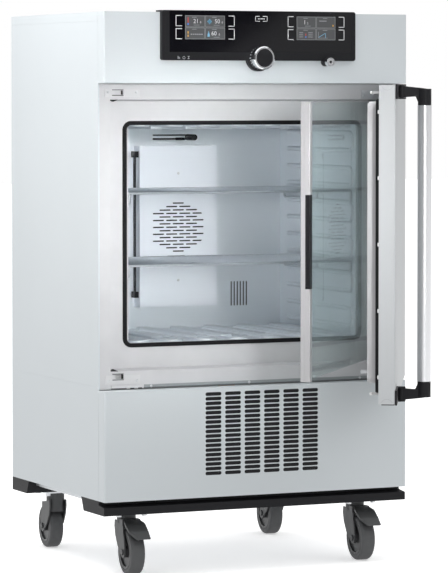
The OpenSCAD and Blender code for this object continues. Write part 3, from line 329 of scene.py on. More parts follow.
@dataclass(frozen=True)
class Brushed:
    """Metal brushed in one direction."""

    name: str
    colour: Colour
    along: Direction
    rough: float
    contrast: float
    metal: float = 1.0
    sway: float = 0.14
    streak: float = 900.0
    streak_squeeze: float = 0.012
    streak_share: float = 0.6
    cloud: float = 28.0
    cloud_squeeze: float = 0.08
    lighter: float = 0.5
    depth: float = 0.00002
    strength: float = 0.6

    def drawn(self, squeeze: float) -> Triple:
        """Return the scale of each axis that draws a noise out along the brushing."""
        return tuple(squeeze if d is self.along else 1.0 for d in Direction)

    def make(self) -> bpy.types.Material:
        """Return the material."""
        s = Shader(self.name)
        fine = s.noise(self.streak, 2.0, self.drawn(self.streak_squeeze))
        broad = s.noise(self.cloud, 2.0, self.drawn(self.cloud_squeeze))
        tone = fine * self.streak_share + broad * (1.0 - self.streak_share)
        tones = (1.0 - self.contrast, 1.0 + self.contrast * self.lighter)
        s.set(base_color=s.tones(tone, self.colour, tones), metallic=self.metal,
              roughness=fine.about(self.rough, self.sway), normal=s.bump(fine, self.depth, self.strength))
        return s.material


@dataclass(frozen=True)
class Moulding:
    """Grained moulded plastic."""

    name: str
    colour: Colour
    rough: float
    gloss: float = 0.5
    sway: float = 0.1
    tones: Pair = (0.9, 1.1)
    grain: float = 1600.0
    cloud: float = 14.0
    depth: float = 0.00004

    def make(self) -> bpy.types.Material:
        """Return the material."""
        s = Shader(self.name)
        grain = s.noise(self.grain)
        cloud = s.noise(self.cloud, 3.0)
        s.set(base_color=s.tones(cloud, self.colour, self.tones), specular_ior_level=self.gloss,
              roughness=cloud.about(self.rough, self.sway), normal=s.bump(grain, self.depth))
        return s.material


@dataclass(frozen=True)
class Sheet:
    """Zinc-coated sheet with its soft crystal pattern."""

    name: str
    colour: Colour
    rough: float = 0.4
    sway: float = 0.15
    metal: float = 0.85
    tones: Pair = (0.93, 1.06)
    cells: float = 70.0
    cell_share: float = 0.7
    grain: float = 600.0
    depth: float = 0.00002

    def make(self) -> bpy.types.Material:
        """Return the material."""
        s = Shader(self.name)
        crystals = {"Vector": s.coords(), "Scale": self.cells}
        cell = Expr(s, s.node("ShaderNodeTexVoronoi", {"feature": "F1"}, crystals).outputs["Distance"])
        fine = s.noise(self.grain)
        tone = cell * self.cell_share + fine * (1.0 - self.cell_share)
        s.set(base_color=s.tones(tone, self.colour, self.tones), metallic=self.metal,
              roughness=cell * self.sway + self.rough, normal=s.bump(fine, self.depth))
        return s.material


@dataclass(frozen=True)
class Polished:
    """Smooth metal or lacquer with faint handling marks."""

    name: str
    colour: Colour
    rough: float
    metal: float = 1.0
    gloss: float = 0.5
    sway: float = 0.08
    tones: Pair = (0.97, 1.03)
    marks: float = 60.0

    def make(self) -> bpy.types.Material:
        """Return the material."""
        s = Shader(self.name)
        marks = s.noise(self.marks, 4.0)
        s.set(base_color=s.tones(marks, self.colour, self.tones), specular_ior_level=self.gloss,
              metallic=self.metal, roughness=marks * self.sway + self.rough)
        return s.material


@dataclass(frozen=True)
class Rubber:
    """Matt rubber of seals and tyres."""

    name: str
    colour: Colour
    rough: float = 0.65
    gloss: float = 0.15
    sway: float = 0.14
    tones: Pair = (0.9, 1.15)
    dust: float = 40.0
    grain: float = 1400.0
    depth: float = 0.00005

    def make(self) -> bpy.types.Material:
        """Return the material."""
        s = Shader(self.name)
        dust = s.noise(self.dust, 4.0)
        s.set(base_color=s.tones(dust, self.colour, self.tones), specular_ior_level=self.gloss,
              roughness=dust.about(self.rough, self.sway), normal=s.bump(s.noise(self.grain), self.depth))
        return s.material


@dataclass(frozen=True)
class WheelFinish:
    """Grey tyre on a darker hub, split by the distance from the axle."""

    name: str
    centre: Triple
    heading: Triple
    tyre: Colour = (0.082, 0.084, 0.087)
    tyre_tones: Pair = (0.9, 1.12)
    hub: Colour = (0.040, 0.041, 0.043)
    hub_tones: Pair = (0.9, 1.1)
    split: float = 0.0365
    hub_rough: float = 0.42
    tyre_rougher: float = 0.16
    dust: float = 70.0
    grain: float = 1300.0
    depth: float = 0.00005

    def make(self) -> bpy.types.Material:
        """Return the material."""
        s = Shader(self.name)
        outside = s.from_axis(self.centre, self.heading).above(self.split)
        dust = s.noise(self.dust, 4.0)
        hub = s.tones(dust, self.hub, self.hub_tones)
        tyre = s.tones(dust, self.tyre, self.tyre_tones)
        s.set(base_color=s.blend(outside, hub, tyre), roughness=outside * self.tyre_rougher + self.hub_rough,
              normal=s.bump(s.noise(self.grain), self.depth))
        return s.material


@dataclass(frozen=True)
class ClearGlass:
    """Slightly tinted clear glass."""

    name: str
    colour: Colour
    density: float = 0.45
    ior: float = 1.45
    sway: float = 0.015
    tones: Pair = (1.0, 0.985)
    film: float = 7.0

    def make(self) -> bpy.types.Material:
        """Return the material."""
        s = Shader(self.name)
        film = s.noise(self.film)
        s.set(base_color=s.tones(film, self.colour, self.tones), roughness=film * self.sway,
              transmission_weight=1.0, ior=self.ior, alpha=self.density)
        return s.material


@dataclass(frozen=True)
class Ink:
    """Screen print, a lit area behind glass, or painted shade."""

    name: str
    colour: Colour
    rough: float = 0.25
    sway: float = 0.1
    tones: Pair = (0.92, 1.06)
    dots: float = 2400.0

    def make(self) -> bpy.types.Material:
        """Return the material."""
        s = Shader(self.name)
        dots = s.noise(self.dots, 1.0)
        s.set(base_color=s.tones(dots, self.colour, self.tones), roughness=dots * self.sway + self.rough)
        return s.material


class Finishes:
    """All finishes of the chamber, each made once."""

    def __init__(self) -> None:
        """Make the materials."""
        plans = (
            PowderCoat("casing_paint", (0.70, 0.745, 0.77)),
            PowderCoat("door_paint", (0.58, 0.60, 0.615)),
            Moulding("frame_white", (0.66, 0.66, 0.675), 0.42),
            Brushed("liner_steel", (0.84, 0.88, 0.92), Direction.X, 0.36, 0.05, 0.6),
            Brushed("duct_steel", (0.86, 0.895, 0.95), Direction.X, 0.40, 0.04, 0.35),
            Brushed("liner_side", (0.80, 0.84, 0.88), Direction.Y, 0.36, 0.05, 0.6),
            Brushed("wire_steel", (0.62, 0.65, 0.68), Direction.Y, 0.30, 0.08),
            Brushed("handle_steel", (0.71, 0.72, 0.735), Direction.Z, 0.32, 0.05),
            Brushed("profile_alu", (0.52, 0.52, 0.53), Direction.Z, 0.4, 0.03, 0.3),
            Sheet("galvanised", (0.62, 0.64, 0.66)),
            Sheet("zinc_plate", (0.72, 0.73, 0.75), 0.3),
            Moulding("black_plastic", (0.014, 0.014, 0.016), 0.45, 0.16),
            Moulding("plinth_black", (0.016, 0.016, 0.018), 0.5, 0.15),
            Moulding("caster_grey", (0.058, 0.060, 0.062), 0.48),
            Rubber("tyre_grey", (0.105, 0.107, 0.110)),
            Rubber("seal_black", (0.012, 0.012, 0.013)),
            Moulding("foam", (0.055, 0.052, 0.047), 0.85),
            Polished("copper", (0.72, 0.36, 0.20), 0.25),
            Polished("chrome", (0.78, 0.79, 0.81), 0.08),
            Polished("machine_black", (0.015, 0.015, 0.017), 0.35, 0.0, 0.3),
            Polished("panel_glass", (0.005, 0.005, 0.007), 0.03, 0.0),
            Polished("screen_grey", (0.16, 0.19, 0.21), 0.2, 0.0),
            Moulding("white_part", (0.80, 0.80, 0.80), 0.4),
            # Painted shade: the cross strip gets a dark grey that stands in for casing paint lying in shade.
            Moulding("strip_grey", (0.33, 0.355, 0.365), 0.5),
            Moulding("keeper_white", (0.70, 0.70, 0.71), 0.4),
            # Dark grey for painted shade: the shadow along the strip's joint and at the edges of the keepers'
            # slots.
            Ink("seam_grey", (0.16, 0.165, 0.17)),
            Ink("print_white", (0.80, 0.80, 0.82)),
            Ink("print_grey", (0.42, 0.43, 0.45)),
            Ink("tile_border", (0.30, 0.31, 0.32)),
            Ink("tile_grey", (0.085, 0.088, 0.092)),
            Ink("sign_red", (0.62, 0.07, 0.06)),
            Ink("sign_blue", (0.08, 0.24, 0.72)),
            Ink("sign_pale", (0.22, 0.52, 0.72)),
            Ink("sign_amber", (0.75, 0.42, 0.08)),
            ClearGlass("door_glass", (0.30, 0.47, 0.46)),
        )
        self.made: dict[str, bpy.types.Material] = {plan.name: plan.make() for plan in plans}

    def __getitem__(self, name: str) -> bpy.types.Material:
        """Return a finish by its name."""
        return self.made[name]


FINISH_OF_NODE: dict[str, str] = {
    "base_frame": "galvanised", "plinth_profile": "plinth_black", "plinth_blocks": "plinth_black",
    "side_panel_left": "casing_paint", "side_panel_right": "casing_paint", "top_cover": "casing_paint",
    "rear_panel": "casing_paint", "front_header": "casing_paint", "lower_front_panel": "casing_paint",
    "dust_filter": "black_plastic", "door_frame": "frame_white", "latch_keepers": "keeper_white",
    "cross_strip": "strip_grey", "screws": "zinc_plate", "insulation": "foam", "liner": "liner_steel",
    "inner_gasket": "seal_black", "duct_covers": "duct_steel", "sensor_probes": "black_plastic",
    "fan_motor": "machine_black", "evaporator": "copper", "compressor": "machine_black",
    "condenser": "galvanised", "refrigerant_pipes": "copper", "electronics_box": "galvanised",
    "compartment_floor": "galvanised", "rear_housing": "casing_paint", "power_inlet": "black_plastic",
    "control_housing": "black_plastic", "control_glass": "panel_glass", "displays": "screen_grey",
    "hinge_brackets": "zinc_plate", "caster_plates": "zinc_plate", "fan_impeller": "machine_black",
    "condenser_fan": "machine_black", "control_knob": "chrome", "power_button": "black_plastic",
    "door_shell": "door_paint", "door_plug": "frame_white", "door_gasket": "seal_black",
    "door_brackets": "black_plastic", "handle_tube": "handle_steel", "handle_arms": "black_plastic",
    "latch_rod": "white_part", "glass_pane": "door_glass", "glass_profile": "profile_alu",
    "glass_grip": "black_plastic", "glass_hinges": "profile_alu", "shelf_upper": "wire_steel",
    "shelf_lower": "wire_steel",
}


class Bench:
    """Modelling steps by hand, measured in cabinet millimetres."""

    def clear(self) -> None:
        """Deselect everything."""
        bpy.ops.object.select_all(action="DESELECT")

    def pick(self, obj: Piece) -> None:
        """Select one object alone and make it active.

        Args:
            obj: The object.
        """
        self.clear()
        obj.select_set(True)
        bpy.context.view_layer.objects.active = obj

    def settle(self, obj: Piece, name: str) -> Piece:
        """Put an object's place into its mesh and name it.

        Args:
            obj: The object.
            name: Its name.

        Returns:
            The same object.
        """
        self.pick(obj)
        bpy.ops.object.transform_apply(location=True, rotation=True, scale=True)
        obj.name = obj.data.name = name
        return obj

    def edit(self, obj: Piece, work: Callable[[], None]) -> None:
        """Run steps in edit mode with the whole mesh selected.

        Args:
            obj: The object.
            work: The steps.
        """
        bpy.context.view_layer.objects.active = obj
        bpy.ops.object.mode_set(mode="EDIT")
        bpy.ops.mesh.select_all(action="SELECT")
        work()
        bpy.ops.object.mode_set(mode="OBJECT")

    def close(self) -> None:
        """Close the open ends of the mesh in edit mode and point its faces outwards."""
        bpy.ops.mesh.select_all(action="SELECT")
        bpy.ops.mesh.fill_holes(sides=0)
        bpy.ops.mesh.normals_make_consistent(inside=False)

    def smooth(self, obj: Piece, degrees: float = 35.0) -> None:
        """Shade an object smooth with its sharp edges kept."""
        self.pick(obj)
        bpy.ops.object.shade_smooth_by_angle(angle=math.radians(degrees))

    def thicken(self, obj: Piece, thick: float) -> Piece:
        """Give a flat piece its thickness towards the front.

        Args:
            obj: The piece.
            thick: Thickness.

        Returns:
            The piece.
        """
        modifier = obj.modifiers.new("thickness", "SOLIDIFY")
        modifier.thickness = thick / MM_PER_M
        modifier.offset = 1.0
        self.pick(obj)
        bpy.ops.object.modifier_apply(modifier=modifier.name)
        return obj

    def joined(self, made: Sequence[Piece], name: str) -> Piece:
        """Join objects into one.

        Args:
            made: The objects.
            name: Name of the piece.

        Returns:
            One mesh object.
        """
        self.clear()
        for obj in made:
            obj.select_set(True)
        bpy.context.view_layer.objects.active = made[0]
        if len(made) > 1:
            bpy.ops.object.join()
        return self.settle(made[0], name)

    def row(self, first: Piece, steps: Sequence[Triple]) -> list[Piece]:
        """Copy a piece along steps.

        Args:
            first: The piece.
            steps: Way from the piece to each copy.

        Returns:
            The piece and its copies, each with its own mesh.
        """
        made = [first]
        for step in steps:
            copy = first.copy()
            copy.data = first.data.copy()
            copy.data.transform(Matrix.Translation(Vector(step) / MM_PER_M))
            bpy.context.scene.collection.objects.link(copy)
            made.append(copy)
        return made

    def block(self, name: str, low: Triple, high: Triple, bevel: float = 0.4, segments: int = 2) -> Piece:
        """Make a block with rounded edges.

        Args:
            name: Piece name.
            low: Lowest corner.
            high: Highest corner.
            bevel: Width of the rounding.
            segments: Steps of the rounding.

        Returns:
            A closed mesh.
        """
        self.clear()
        middle = at(*((a + b) / 2.0 for a, b in zip(low, high)))
        bpy.ops.mesh.primitive_cube_add(size=1.0, location=middle)
        obj = bpy.context.object
        obj.scale = [(b - a) / MM_PER_M for a, b in zip(low, high)]
        self.settle(obj, name)
        width = bevel / MM_PER_M
        self.edit(obj, lambda: bpy.ops.mesh.bevel(offset=width, segments=segments, affect="EDGES"))
        return obj

    def taper(self, obj: Piece, heading: Vector, size: Triple) -> None:
        """Resize the side of a block that faces a heading.

        Args:
            obj: The block.
            heading: Unit vector to that side.
            size: Scale of the side along each axis.
        """
        reach = max(v.co.dot(heading) for v in obj.data.vertices)
        middle = sum((v.co for v in obj.data.vertices), Vector()) / len(obj.data.vertices)

        def shrink() -> None:
            """Select the side and resize it about the block's middle."""
            mesh = bmesh.from_edit_mesh(obj.data)
            for vertex in mesh.verts:
                vertex.select = vertex.co.dot(heading) > reach - SIDE_DEPTH
            mesh.select_flush_mode()
            bmesh.update_edit_mesh(obj.data)
            bpy.ops.transform.resize(value=size, center_override=middle)

        self.edit(obj, shrink)

    def plates(self, name: str, shapes: Sequence[Plate], y: float, thick: float = 0.3) -> Piece:
        """Make thin plates that face the front.

        Args:
            name: Piece name.
            shapes: The plates.
            y: Depth of the plates' backs.
            thick: Thickness.

        Returns:
            One mesh object.
        """
        made = []
        for left, bottom, right, top in shapes:
            self.clear()
            middle = at((left + right) / 2.0, y, (bottom + top) / 2.0)
            bpy.ops.mesh.primitive_plane_add(size=1.0, location=middle, rotation=UPRIGHT)
            plate = bpy.context.object
            plate.scale = ((right - left) / MM_PER_M, (top - bottom) / MM_PER_M, 1.0)
            made.append(plate)
        return self.thicken(self.joined(made, name), thick)

    def number(self, name: str, body: str, left: float, bottom: float, height: float, y: float,
               thick: float = 0.2) -> Piece:
        """Write numerals on a face that looks to the front.

        Args:
            name: Piece name.
            body: The numerals.
            left: Left end.
            bottom: Foot of the numerals.
            height: Their height.
            y: Depth of the face.
            thick: Thickness of the print.

        Returns:
            One mesh object.
        """
        self.clear()
        bpy.ops.object.text_add(location=at(left, y, bottom), rotation=UPRIGHT)
        obj = bpy.context.object
        obj.data.body = body
        obj.data.size = height / MM_PER_M * FONT_SIZE
        obj.data.resolution_u = FONT_STEPS
        bpy.ops.object.convert(target="MESH")
        return self.thicken(self.settle(bpy.context.object, name), thick)

    def turned(self, name: str, centre: Triple, profile: Sequence[Pair], sides: int = 96) -> Piece:
        """Turn a piece from a disc that faces the front, step by step.

        Args:
            name: Piece name.
            centre: Point on the axis.
            profile: Radius and height of each step; heights go to the front.
            sides: Number of sides.

        Returns:
            A closed mesh.
        """
        foot = at(*centre)
        radius, height = profile[0]
        self.clear()
        bpy.ops.mesh.primitive_circle_add(vertices=sides, radius=radius / MM_PER_M, fill_type="NGON",
                                          location=foot + FRONT * height / MM_PER_M, rotation=UPRIGHT)
        obj = self.settle(bpy.context.object, name)

        def steps() -> None:
            """Extrude and resize the face for each step of the profile, then close the piece."""
            for (last_radius, last_height), (next_radius, next_height) in zip(profile, profile[1:]):
                rise = FRONT * (next_height - last_height) / MM_PER_M
                bpy.ops.mesh.extrude_region_move(TRANSFORM_OT_translate={"value": rise})
                size = (next_radius / last_radius, 1.0, next_radius / last_radius)
                middle = foot + FRONT * next_height / MM_PER_M
                bpy.ops.transform.resize(value=size, center_override=middle)
            self.close()

        self.edit(obj, steps)
        self.smooth(obj)
        return obj

    def arc(self, name: str, centre: Triple, start: Triple, axis: Triple, degrees: float, radius: float,
            steps: int = 24, sides: int = 8) -> Piece:
        """Sweep a thin round wire along an arc.

        Args:
            name: Piece name.
            centre: Centre of the arc.
            start: First point of the arc.
            axis: Axis that the arc turns about.
            degrees: Angle swept.
            radius: Radius of the wire.
            steps: Number of pieces along the arc.
            sides: Number of sides of the wire.

        Returns:
            A closed mesh.
        """
        along = Vector(axis).cross(Vector(start) - Vector(centre))
        turn = along.to_track_quat("Z", "Y").to_euler()
        self.clear()
        bpy.ops.mesh.primitive_circle_add(vertices=sides, radius=radius / MM_PER_M, fill_type="NGON",
                                          location=at(*start), rotation=turn)
        obj = self.settle(bpy.context.object, name)

        def sweep() -> None:
            """Spin the start face along the arc and close the ends."""
            bpy.ops.mesh.spin(steps=steps, angle=math.radians(degrees), center=at(*centre), axis=axis)
            self.close()

        self.edit(obj, sweep)
        self.smooth(obj)
        return obj


@dataclass
class Trim:
    """A sub-assembly of small pieces, with the bench and the finishes that it uses."""

    bench: Bench
    finishes: Finishes

    def dress(self, obj: Piece, finish: str, slot: str, body: str = "cabinet",
              turn: Matrix | None = None) -> None:
        """Give a piece its finish and its body.

        Args:
            obj: The piece.
            finish: Name of its finish.
            slot: Not used.
            body: CAD body it moves with.
            turn: Swing from the closed place to the modelled one.
        """
        if turn is not None:
            obj.data.transform(turn)
        obj.data.materials.clear()
        obj.data.materials.append(self.finishes[finish])
        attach(obj, body)
        log.info("piece %s on %s", obj.name, body)


@dataclass(frozen=True)
class Sign:
    """Thin coloured plates on the display tiles, measured from each tile's lower left corner."""

    name: str
    finish: str
    plates: tuple[tuple[Tile, Plate], ...]


SIGNS: tuple[Sign, ...] = (
    Sign("tile_lines", "print_grey", (
        *((tile, (15.0, 20.1, 26.0, 20.9)) for tile in Tile),
        *((tile, (19.0, 3.0, 33.0, 3.8)) for tile in (Tile.WARMTH, Tile.FAN, Tile.MOISTURE, Tile.PROGRAM)),
        *((Tile.TIMER, dash) for dash in repeated((12.0, 8.5, 15.4, 10.6), 6, (5.0, 0.0))),
        (Tile.STATE, (6.0, 14.0, 24.0, 15.6)),
        *((Tile.LEVELS, bar) for bar in repeated((5.0, 5.0, 14.0, 6.2), 3, (0.0, 4.6))),
        *((Tile.LEVELS, bar) for bar in repeated((27.0, 5.0, 38.0, 6.2), 3, (0.0, 4.6))),
    )),
    Sign("signs_red", "sign_red", (
        (Tile.WARMTH, (4.6, 8.5, 6.8, 20.1)), (Tile.LEVELS, (20.0, 8.0, 22.0, 13.0)),
    )),
    Sign("signs_blue", "sign_blue", (
        (Tile.WARMTH, (3.9, 3.5, 7.5, 7.6)), (Tile.LEVELS, (19.6, 3.8, 22.6, 7.0)),
    )),
    Sign("signs_pale", "sign_pale", (
        (Tile.MOISTURE, (4.0, 4.4, 9.4, 10.0)), (Tile.MOISTURE, (4.9, 10.0, 8.5, 13.0)),
        (Tile.MOISTURE, (6.0, 13.0, 7.4, 16.4)), (Tile.FAN, (3.6, 10.0, 14.4, 12.6)),
        (Tile.FAN, (7.7, 5.8, 10.3, 16.8)), (Tile.FAN, (5.6, 7.8, 12.4, 14.8)),
    )),
    Sign("signs_amber", "sign_amber", (
        (Tile.TIMER, (4.2, 4.0, 7.2, 8.4)), (Tile.TIMER, (4.2, 11.0, 7.2, 16.0)),
        (Tile.STATE, (38.5, 2.8, 41.7, 6.6)),
    )),
    Sign("signs_curve", "sign_pale", (
        *((Tile.CURVE, step) for step in repeated((5.0, 5.0, 6.8, 6.2), 9, (1.6, 0.9))),
        (Tile.CURVE, (19.4, 13.0, 21.2, 14.2)), (Tile.CURVE, (21.0, 4.0, 22.2, 13.6)),
    )),
    Sign("curve_axes", "print_grey", (
        (Tile.CURVE, (3.6, 3.0, 4.3, 17.0)), (Tile.CURVE, (3.6, 3.0, 27.0, 3.7)),
    )),
)

# Numerals, tile, way from the tile's left edge and height of each figure.
FIGURES: dict[str, tuple[tuple[str, Tile, float, float], ...]] = {
    "left_figures": (
        ("21", Tile.WARMTH, 18.0, 9.4), ("50", Tile.FAN, 21.0, 9.4), ("60", Tile.MOISTURE, 13.0, 9.4),
        ("0", Tile.WARMTH, 34.0, 4.4), ("0", Tile.FAN, 38.0, 4.4), ("0", Tile.MOISTURE, 31.0, 4.4),
    ),
    "right_figures": (("1", Tile.PROGRAM, 15.0, 9.4), ("2", Tile.PROGRAM, 24.0, 4.4)),
}


@dataclass
class ControlUnit(Trim):
    """Marks, tiles, numerals and rings of the control unit."""

    face: float = -12.0
    # Place and arm length of the touch marks, with the lower and upper end of each row.
    touch_marks: tuple[Pair, ...] = ((164.1, 15.0), (305.3, -14.6), (434.5, 13.9), (574.3, -14.0))
    touch_rows: tuple[Pair, ...] = ((1174.0, 1197.6), (1202.1, 1226.2))
    centre_marks: tuple[Pair, ...] = ((355.2, 11.0), (385.0, -11.0))
    centre_row: Pair = (1213.9, 1225.9)
    centre_line: float = 1.3
    dots: Plate = (362.0, 1218.8, 364.4, 1221.0)
    dot_count: int = 5
    dot_pitch: float = 3.4
    small_marks: tuple[Plate, ...] = (
        (169.0, 1131.0, 170.2, 1137.4), (171.0, 1131.0, 172.2, 1136.0), (173.0, 1131.0, 174.2, 1134.6),
        (192.6, 1131.0, 197.2, 1132.2), (192.6, 1135.8, 197.2, 1137.2), (194.2, 1132.2, 195.4, 1135.8))
    small_mark_thick: float = 0.2
    small_ring: Pair = (183.8, 1133.6)
    small_ring_radius: float = 2.8
    small_ring_wire: float = 0.45
    small_ring_lift: float = 0.1
    small_ring_sweep: float = 359.0
    left_display: Plate = (186.8, 1174.1, 281.9, 1225.7)
    right_display: Plate = (456.7, 1174.1, 551.9, 1225.7)
    tile_gap: float = 1.0
    tile_border: float = 1.1
    tile_thick: float = 0.3
    sign_thick: float = 0.15
    figure_foot: float = 7.4
    knob: Pair = (365.5, 1133.6)
    knob_ring: tuple[Pair, ...] = ((25.2, 16.0), (25.3, 25.4), (23.0, 27.9), (20.2, 27.9), (19.4, 26.0))
    knob_cap: tuple[Pair, ...] = ((19.4, 25.0), (19.4, 26.3), (18.8, 26.6), (9.0, 27.2), (1.0, 27.3))
    button: Pair = (531.7, 1125.6)
    button_collar: tuple[Pair, ...] = ((9.7, 8.0), (9.75, 18.4), (9.2, 19.25), (7.6, 19.25), (7.35, 18.6))

    def bracket(self, x: float, row: Pair, reach: float, line: float = 1.6) -> list[Plate]:
        """Return the plates of one bracket mark.

        Args:
            x: Closed side of the bracket.
            row: Its lower and upper end.
            reach: Length of its arms; a negative reach opens to the left.
            line: Width of its stem and arms.

        Returns:
            The stem and the two arms.
        """
        low, high = row
        left, right = sorted((x, x + reach))
        stem = (x, low, x + line, high) if reach > 0 else (x - line, low, x, high)
        return [stem, (left, low, right, low + line), (left, high - line, right, high)]

    def marks(self) -> None:
        """Print the touch marks beside the displays, the centre mark and the small marks."""
        shapes: list[Plate] = []
        for x, reach in self.touch_marks:
            for row in self.touch_rows:
                shapes += self.bracket(x, row, reach)
        for x, reach in self.centre_marks:
            shapes += self.bracket(x, self.centre_row, reach, self.centre_line)
        shapes += repeated(self.dots, self.dot_count, (self.dot_pitch, 0.0))
        self.dress(self.bench.plates("panel_marks", shapes, self.face), "print_white", "black_moulding")
        small = self.bench.plates("small_marks", self.small_marks, self.face, self.small_mark_thick)
        self.dress(small, "print_grey", "black_moulding")
        (x, z), y = self.small_ring, self.face - self.small_ring_lift
        start = (x + self.small_ring_radius, y, z)
        ring = self.bench.arc("small_ring", (x, y, z), start, tuple(FRONT), self.small_ring_sweep,
                              self.small_ring_wire)
        self.dress(ring, "print_grey", "black_moulding")

    def tile_set(self, name: str, box: Plate) -> list[Plate]:
        """Lay four grey tiles with light borders.

        Args:
            name: Name of the display.
            box: Its outer edges.

        Returns:
            The inner edges of each tile.
        """
        left, bottom, right, top = box
        gap = self.tile_gap / 2.0
        middle_x, middle_z = (left + right) / 2.0, (bottom + top) / 2.0
        columns = ((left, middle_x - gap), (middle_x + gap, right))
        rows = ((middle_z + gap, top), (bottom, middle_z - gap))
        cells = [(west, low, east, high) for low, high in rows for west, east in columns]
        borders = self.bench.plates(name + "_borders", cells, self.face, self.sign_thick)
        self.dress(borders, "tile_border", "display")
        edge = self.tile_border
        inner = [(west + edge, low + edge, east - edge, high - edge) for west, low, east, high in cells]
        tiles = self.bench.plates(name + "_tiles", inner, self.face, self.tile_thick)
        self.dress(tiles, "tile_grey", "display")
        return inner

    def displays(self) -> None:
        """Fill both displays with generic values."""
        inner = self.tile_set("left_display", self.left_display)
        inner += self.tile_set("right_display", self.right_display)
        corner = {tile: inner[tile.value][:2] for tile in Tile}
        top = self.face - self.tile_thick
        for name, figures in FIGURES.items():
            made = []
            for body, tile, left, height in figures:
                x, z = corner[tile]
                made.append(self.bench.number(name, body, x + left, z + self.figure_foot, height, top))
            self.dress(self.bench.joined(made, name), "print_white", "display")
        for sign in SIGNS:
            shapes = []
            for tile, (left, bottom, right, high) in sign.plates:
                x, z = corner[tile]
                shapes.append((x + left, z + bottom, x + right, z + high))
            self.dress(self.bench.plates(sign.name, shapes, top, self.sign_thick), sign.finish, "display")

    def rings(self) -> None:
        """Turn the rings of the knob and the button, and the knob's cap."""
        knob = (self.knob[0], self.face, self.knob[1])
        self.dress(self.bench.turned("knob_ring", knob, self.knob_ring), "chrome", "chrome", "knob")
        self.dress(self.bench.turned("knob_cap", knob, self.knob_cap), "black_plastic", "chrome", "knob")
        button = (self.button[0], self.face, self.button[1])
        self.dress(self.bench.turned("button_collar", button, self.button_collar), "chrome", "chrome")

    def build(self) -> None:
        """Build all pieces of the control unit."""
        self.marks()
        self.displays()
        self.rings()


@dataclass
class RecessTrim(Trim):
    """Small pieces in the recess round the test space."""

    high: float = 1042.6
    low: float = 448.4
    face: float = 39.5
    sheet: float = 1.5
    # Reach of a corner wedge across the recess, into it and from its edge inwards.
    wedge_x: Pair = (33.6, 49.9)
    wedge_y: Pair = (2.0, 20.0)
    wedge_z: Pair = (0.4, 4.6)
    wedge_tip: Triple = (0.12, 0.5, 1.0)
    wedge_edge: float = 0.5
    rail_x: Pair = (68.0, 109.0)
    rail_slots: tuple[Pair, ...] = ((76.5, 86.3), (95.4, 104.7))
    rail_foot: float = 0.3
    rail_thick: float = 0.8
    slot_thick: float = 0.4
    line_thick: float = 0.2
    tooth: float = 2.4
    keeper_slot: Pair = (17.0, 44.0)
    # Middle of the lower keeper above the node's foot, and of the upper one below its top.
    keeper_ends: Pair = (16.0, 7.0)
    line_above_upper: Pair = (5.0, 6.8)
    line_above_lower: Pair = (5.6, 7.4)
    line_below: Pair = (-7.4, -5.0)
    cup_y: Pair = (53.0, 54.0)
    cup_half: float = 6.0
    cup_edge: float = 0.3

    def wedges(self) -> None:
        """Set the dark corner wedges at the left of the recess."""
        made = []
        for level, sign in ((self.high, -1.0), (self.low, 1.0)):
            foot, top = sorted(level + sign * z for z in self.wedge_z)
            near, far = (self.face + y for y in self.wedge_y)
            left, right = self.wedge_x
            wedge = self.bench.block("wedge", (left, near, foot), (right, far, top), self.wedge_edge)
            self.bench.taper(wedge, Vector((0.0, 0.0, sign)), self.wedge_tip)
            made.append(wedge)
        self.dress(self.bench.joined(made, "corner_wedges"), "black_plastic", "black_moulding")

    def rail(self) -> None:
        """Lay the white rail and its slots on the strip under the frame, with a dark plate below it for the
        joint and its painted shadow.
        """
        low, high = box_mm("cross_strip")
        front = self.face - self.sheet
        teeth = low.z + self.tooth
        # Dark plate over the strip's lower edge: a joint with painted shadow along it.
        joint_shadow = self.bench.plates("strip_joint", [(low.x, low.z, high.x, teeth)], front, self.line_thick)
        self.dress(joint_shadow, "seam_grey", "black_moulding")
        start, end = self.rail_x
        edges = [start] + [x for slot in self.rail_slots for x in slot] + [end]
        shapes = [(low.x, teeth, end, high.z)]
        shapes += [(a, low.z + self.rail_foot, b, teeth) for a, b in zip(edges[::2], edges[1::2])]
        rail = self.bench.plates("strip_rail", shapes, front, self.rail_thick)
        self.dress(rail, "keeper_white", "frame_moulding")
        dark = [(a, low.z, b, teeth) for a, b in self.rail_slots]
        slots = self.bench.plates("strip_slots", dark, front, self.slot_thick)
        self.dress(slots, "seal_black", "black_moulding")

    def keepers(self) -> None:
        """Paint shade along the edges of the keepers' slots and set the light cup behind each."""
        low, high = box_mm("latch_keepers")
        left, right = (low.x + x for x in self.keeper_slot)
        lower, upper = low.z + self.keeper_ends[0], high.z - self.keeper_ends[1]
        # The dark lines at the edges of each slot are painted shade of the hole's edges.
        spans = [(upper, self.line_above_upper), (lower, self.line_below), (upper, self.line_below)]
        lines = [(left, z + span[0], right, z + span[1]) for z, span in spans]
        foot, top = (lower + z for z in self.line_above_lower)
        made = [self.bench.plates("line", lines, self.face - self.sheet, self.line_thick),
                self.bench.plates("line", [(left, foot, right, top)], self.face, self.line_thick)]
        self.dress(self.bench.joined(made, "keeper_lines"), "seam_grey", "frame_moulding")
        near, far = self.cup_y
        ends = [(z - self.cup_half, z + self.cup_half) for z in (lower, upper)]
        cups = [self.bench.block("cup", (left, near, a), (right, far, b), self.cup_edge) for a, b in ends]
        self.dress(self.bench.joined(cups, "keeper_cups"), "keeper_white", "frame_moulding")

    def build(self) -> None:
        """Build the recess trim."""
        self.wedges()
        self.rail()
        self.keepers()


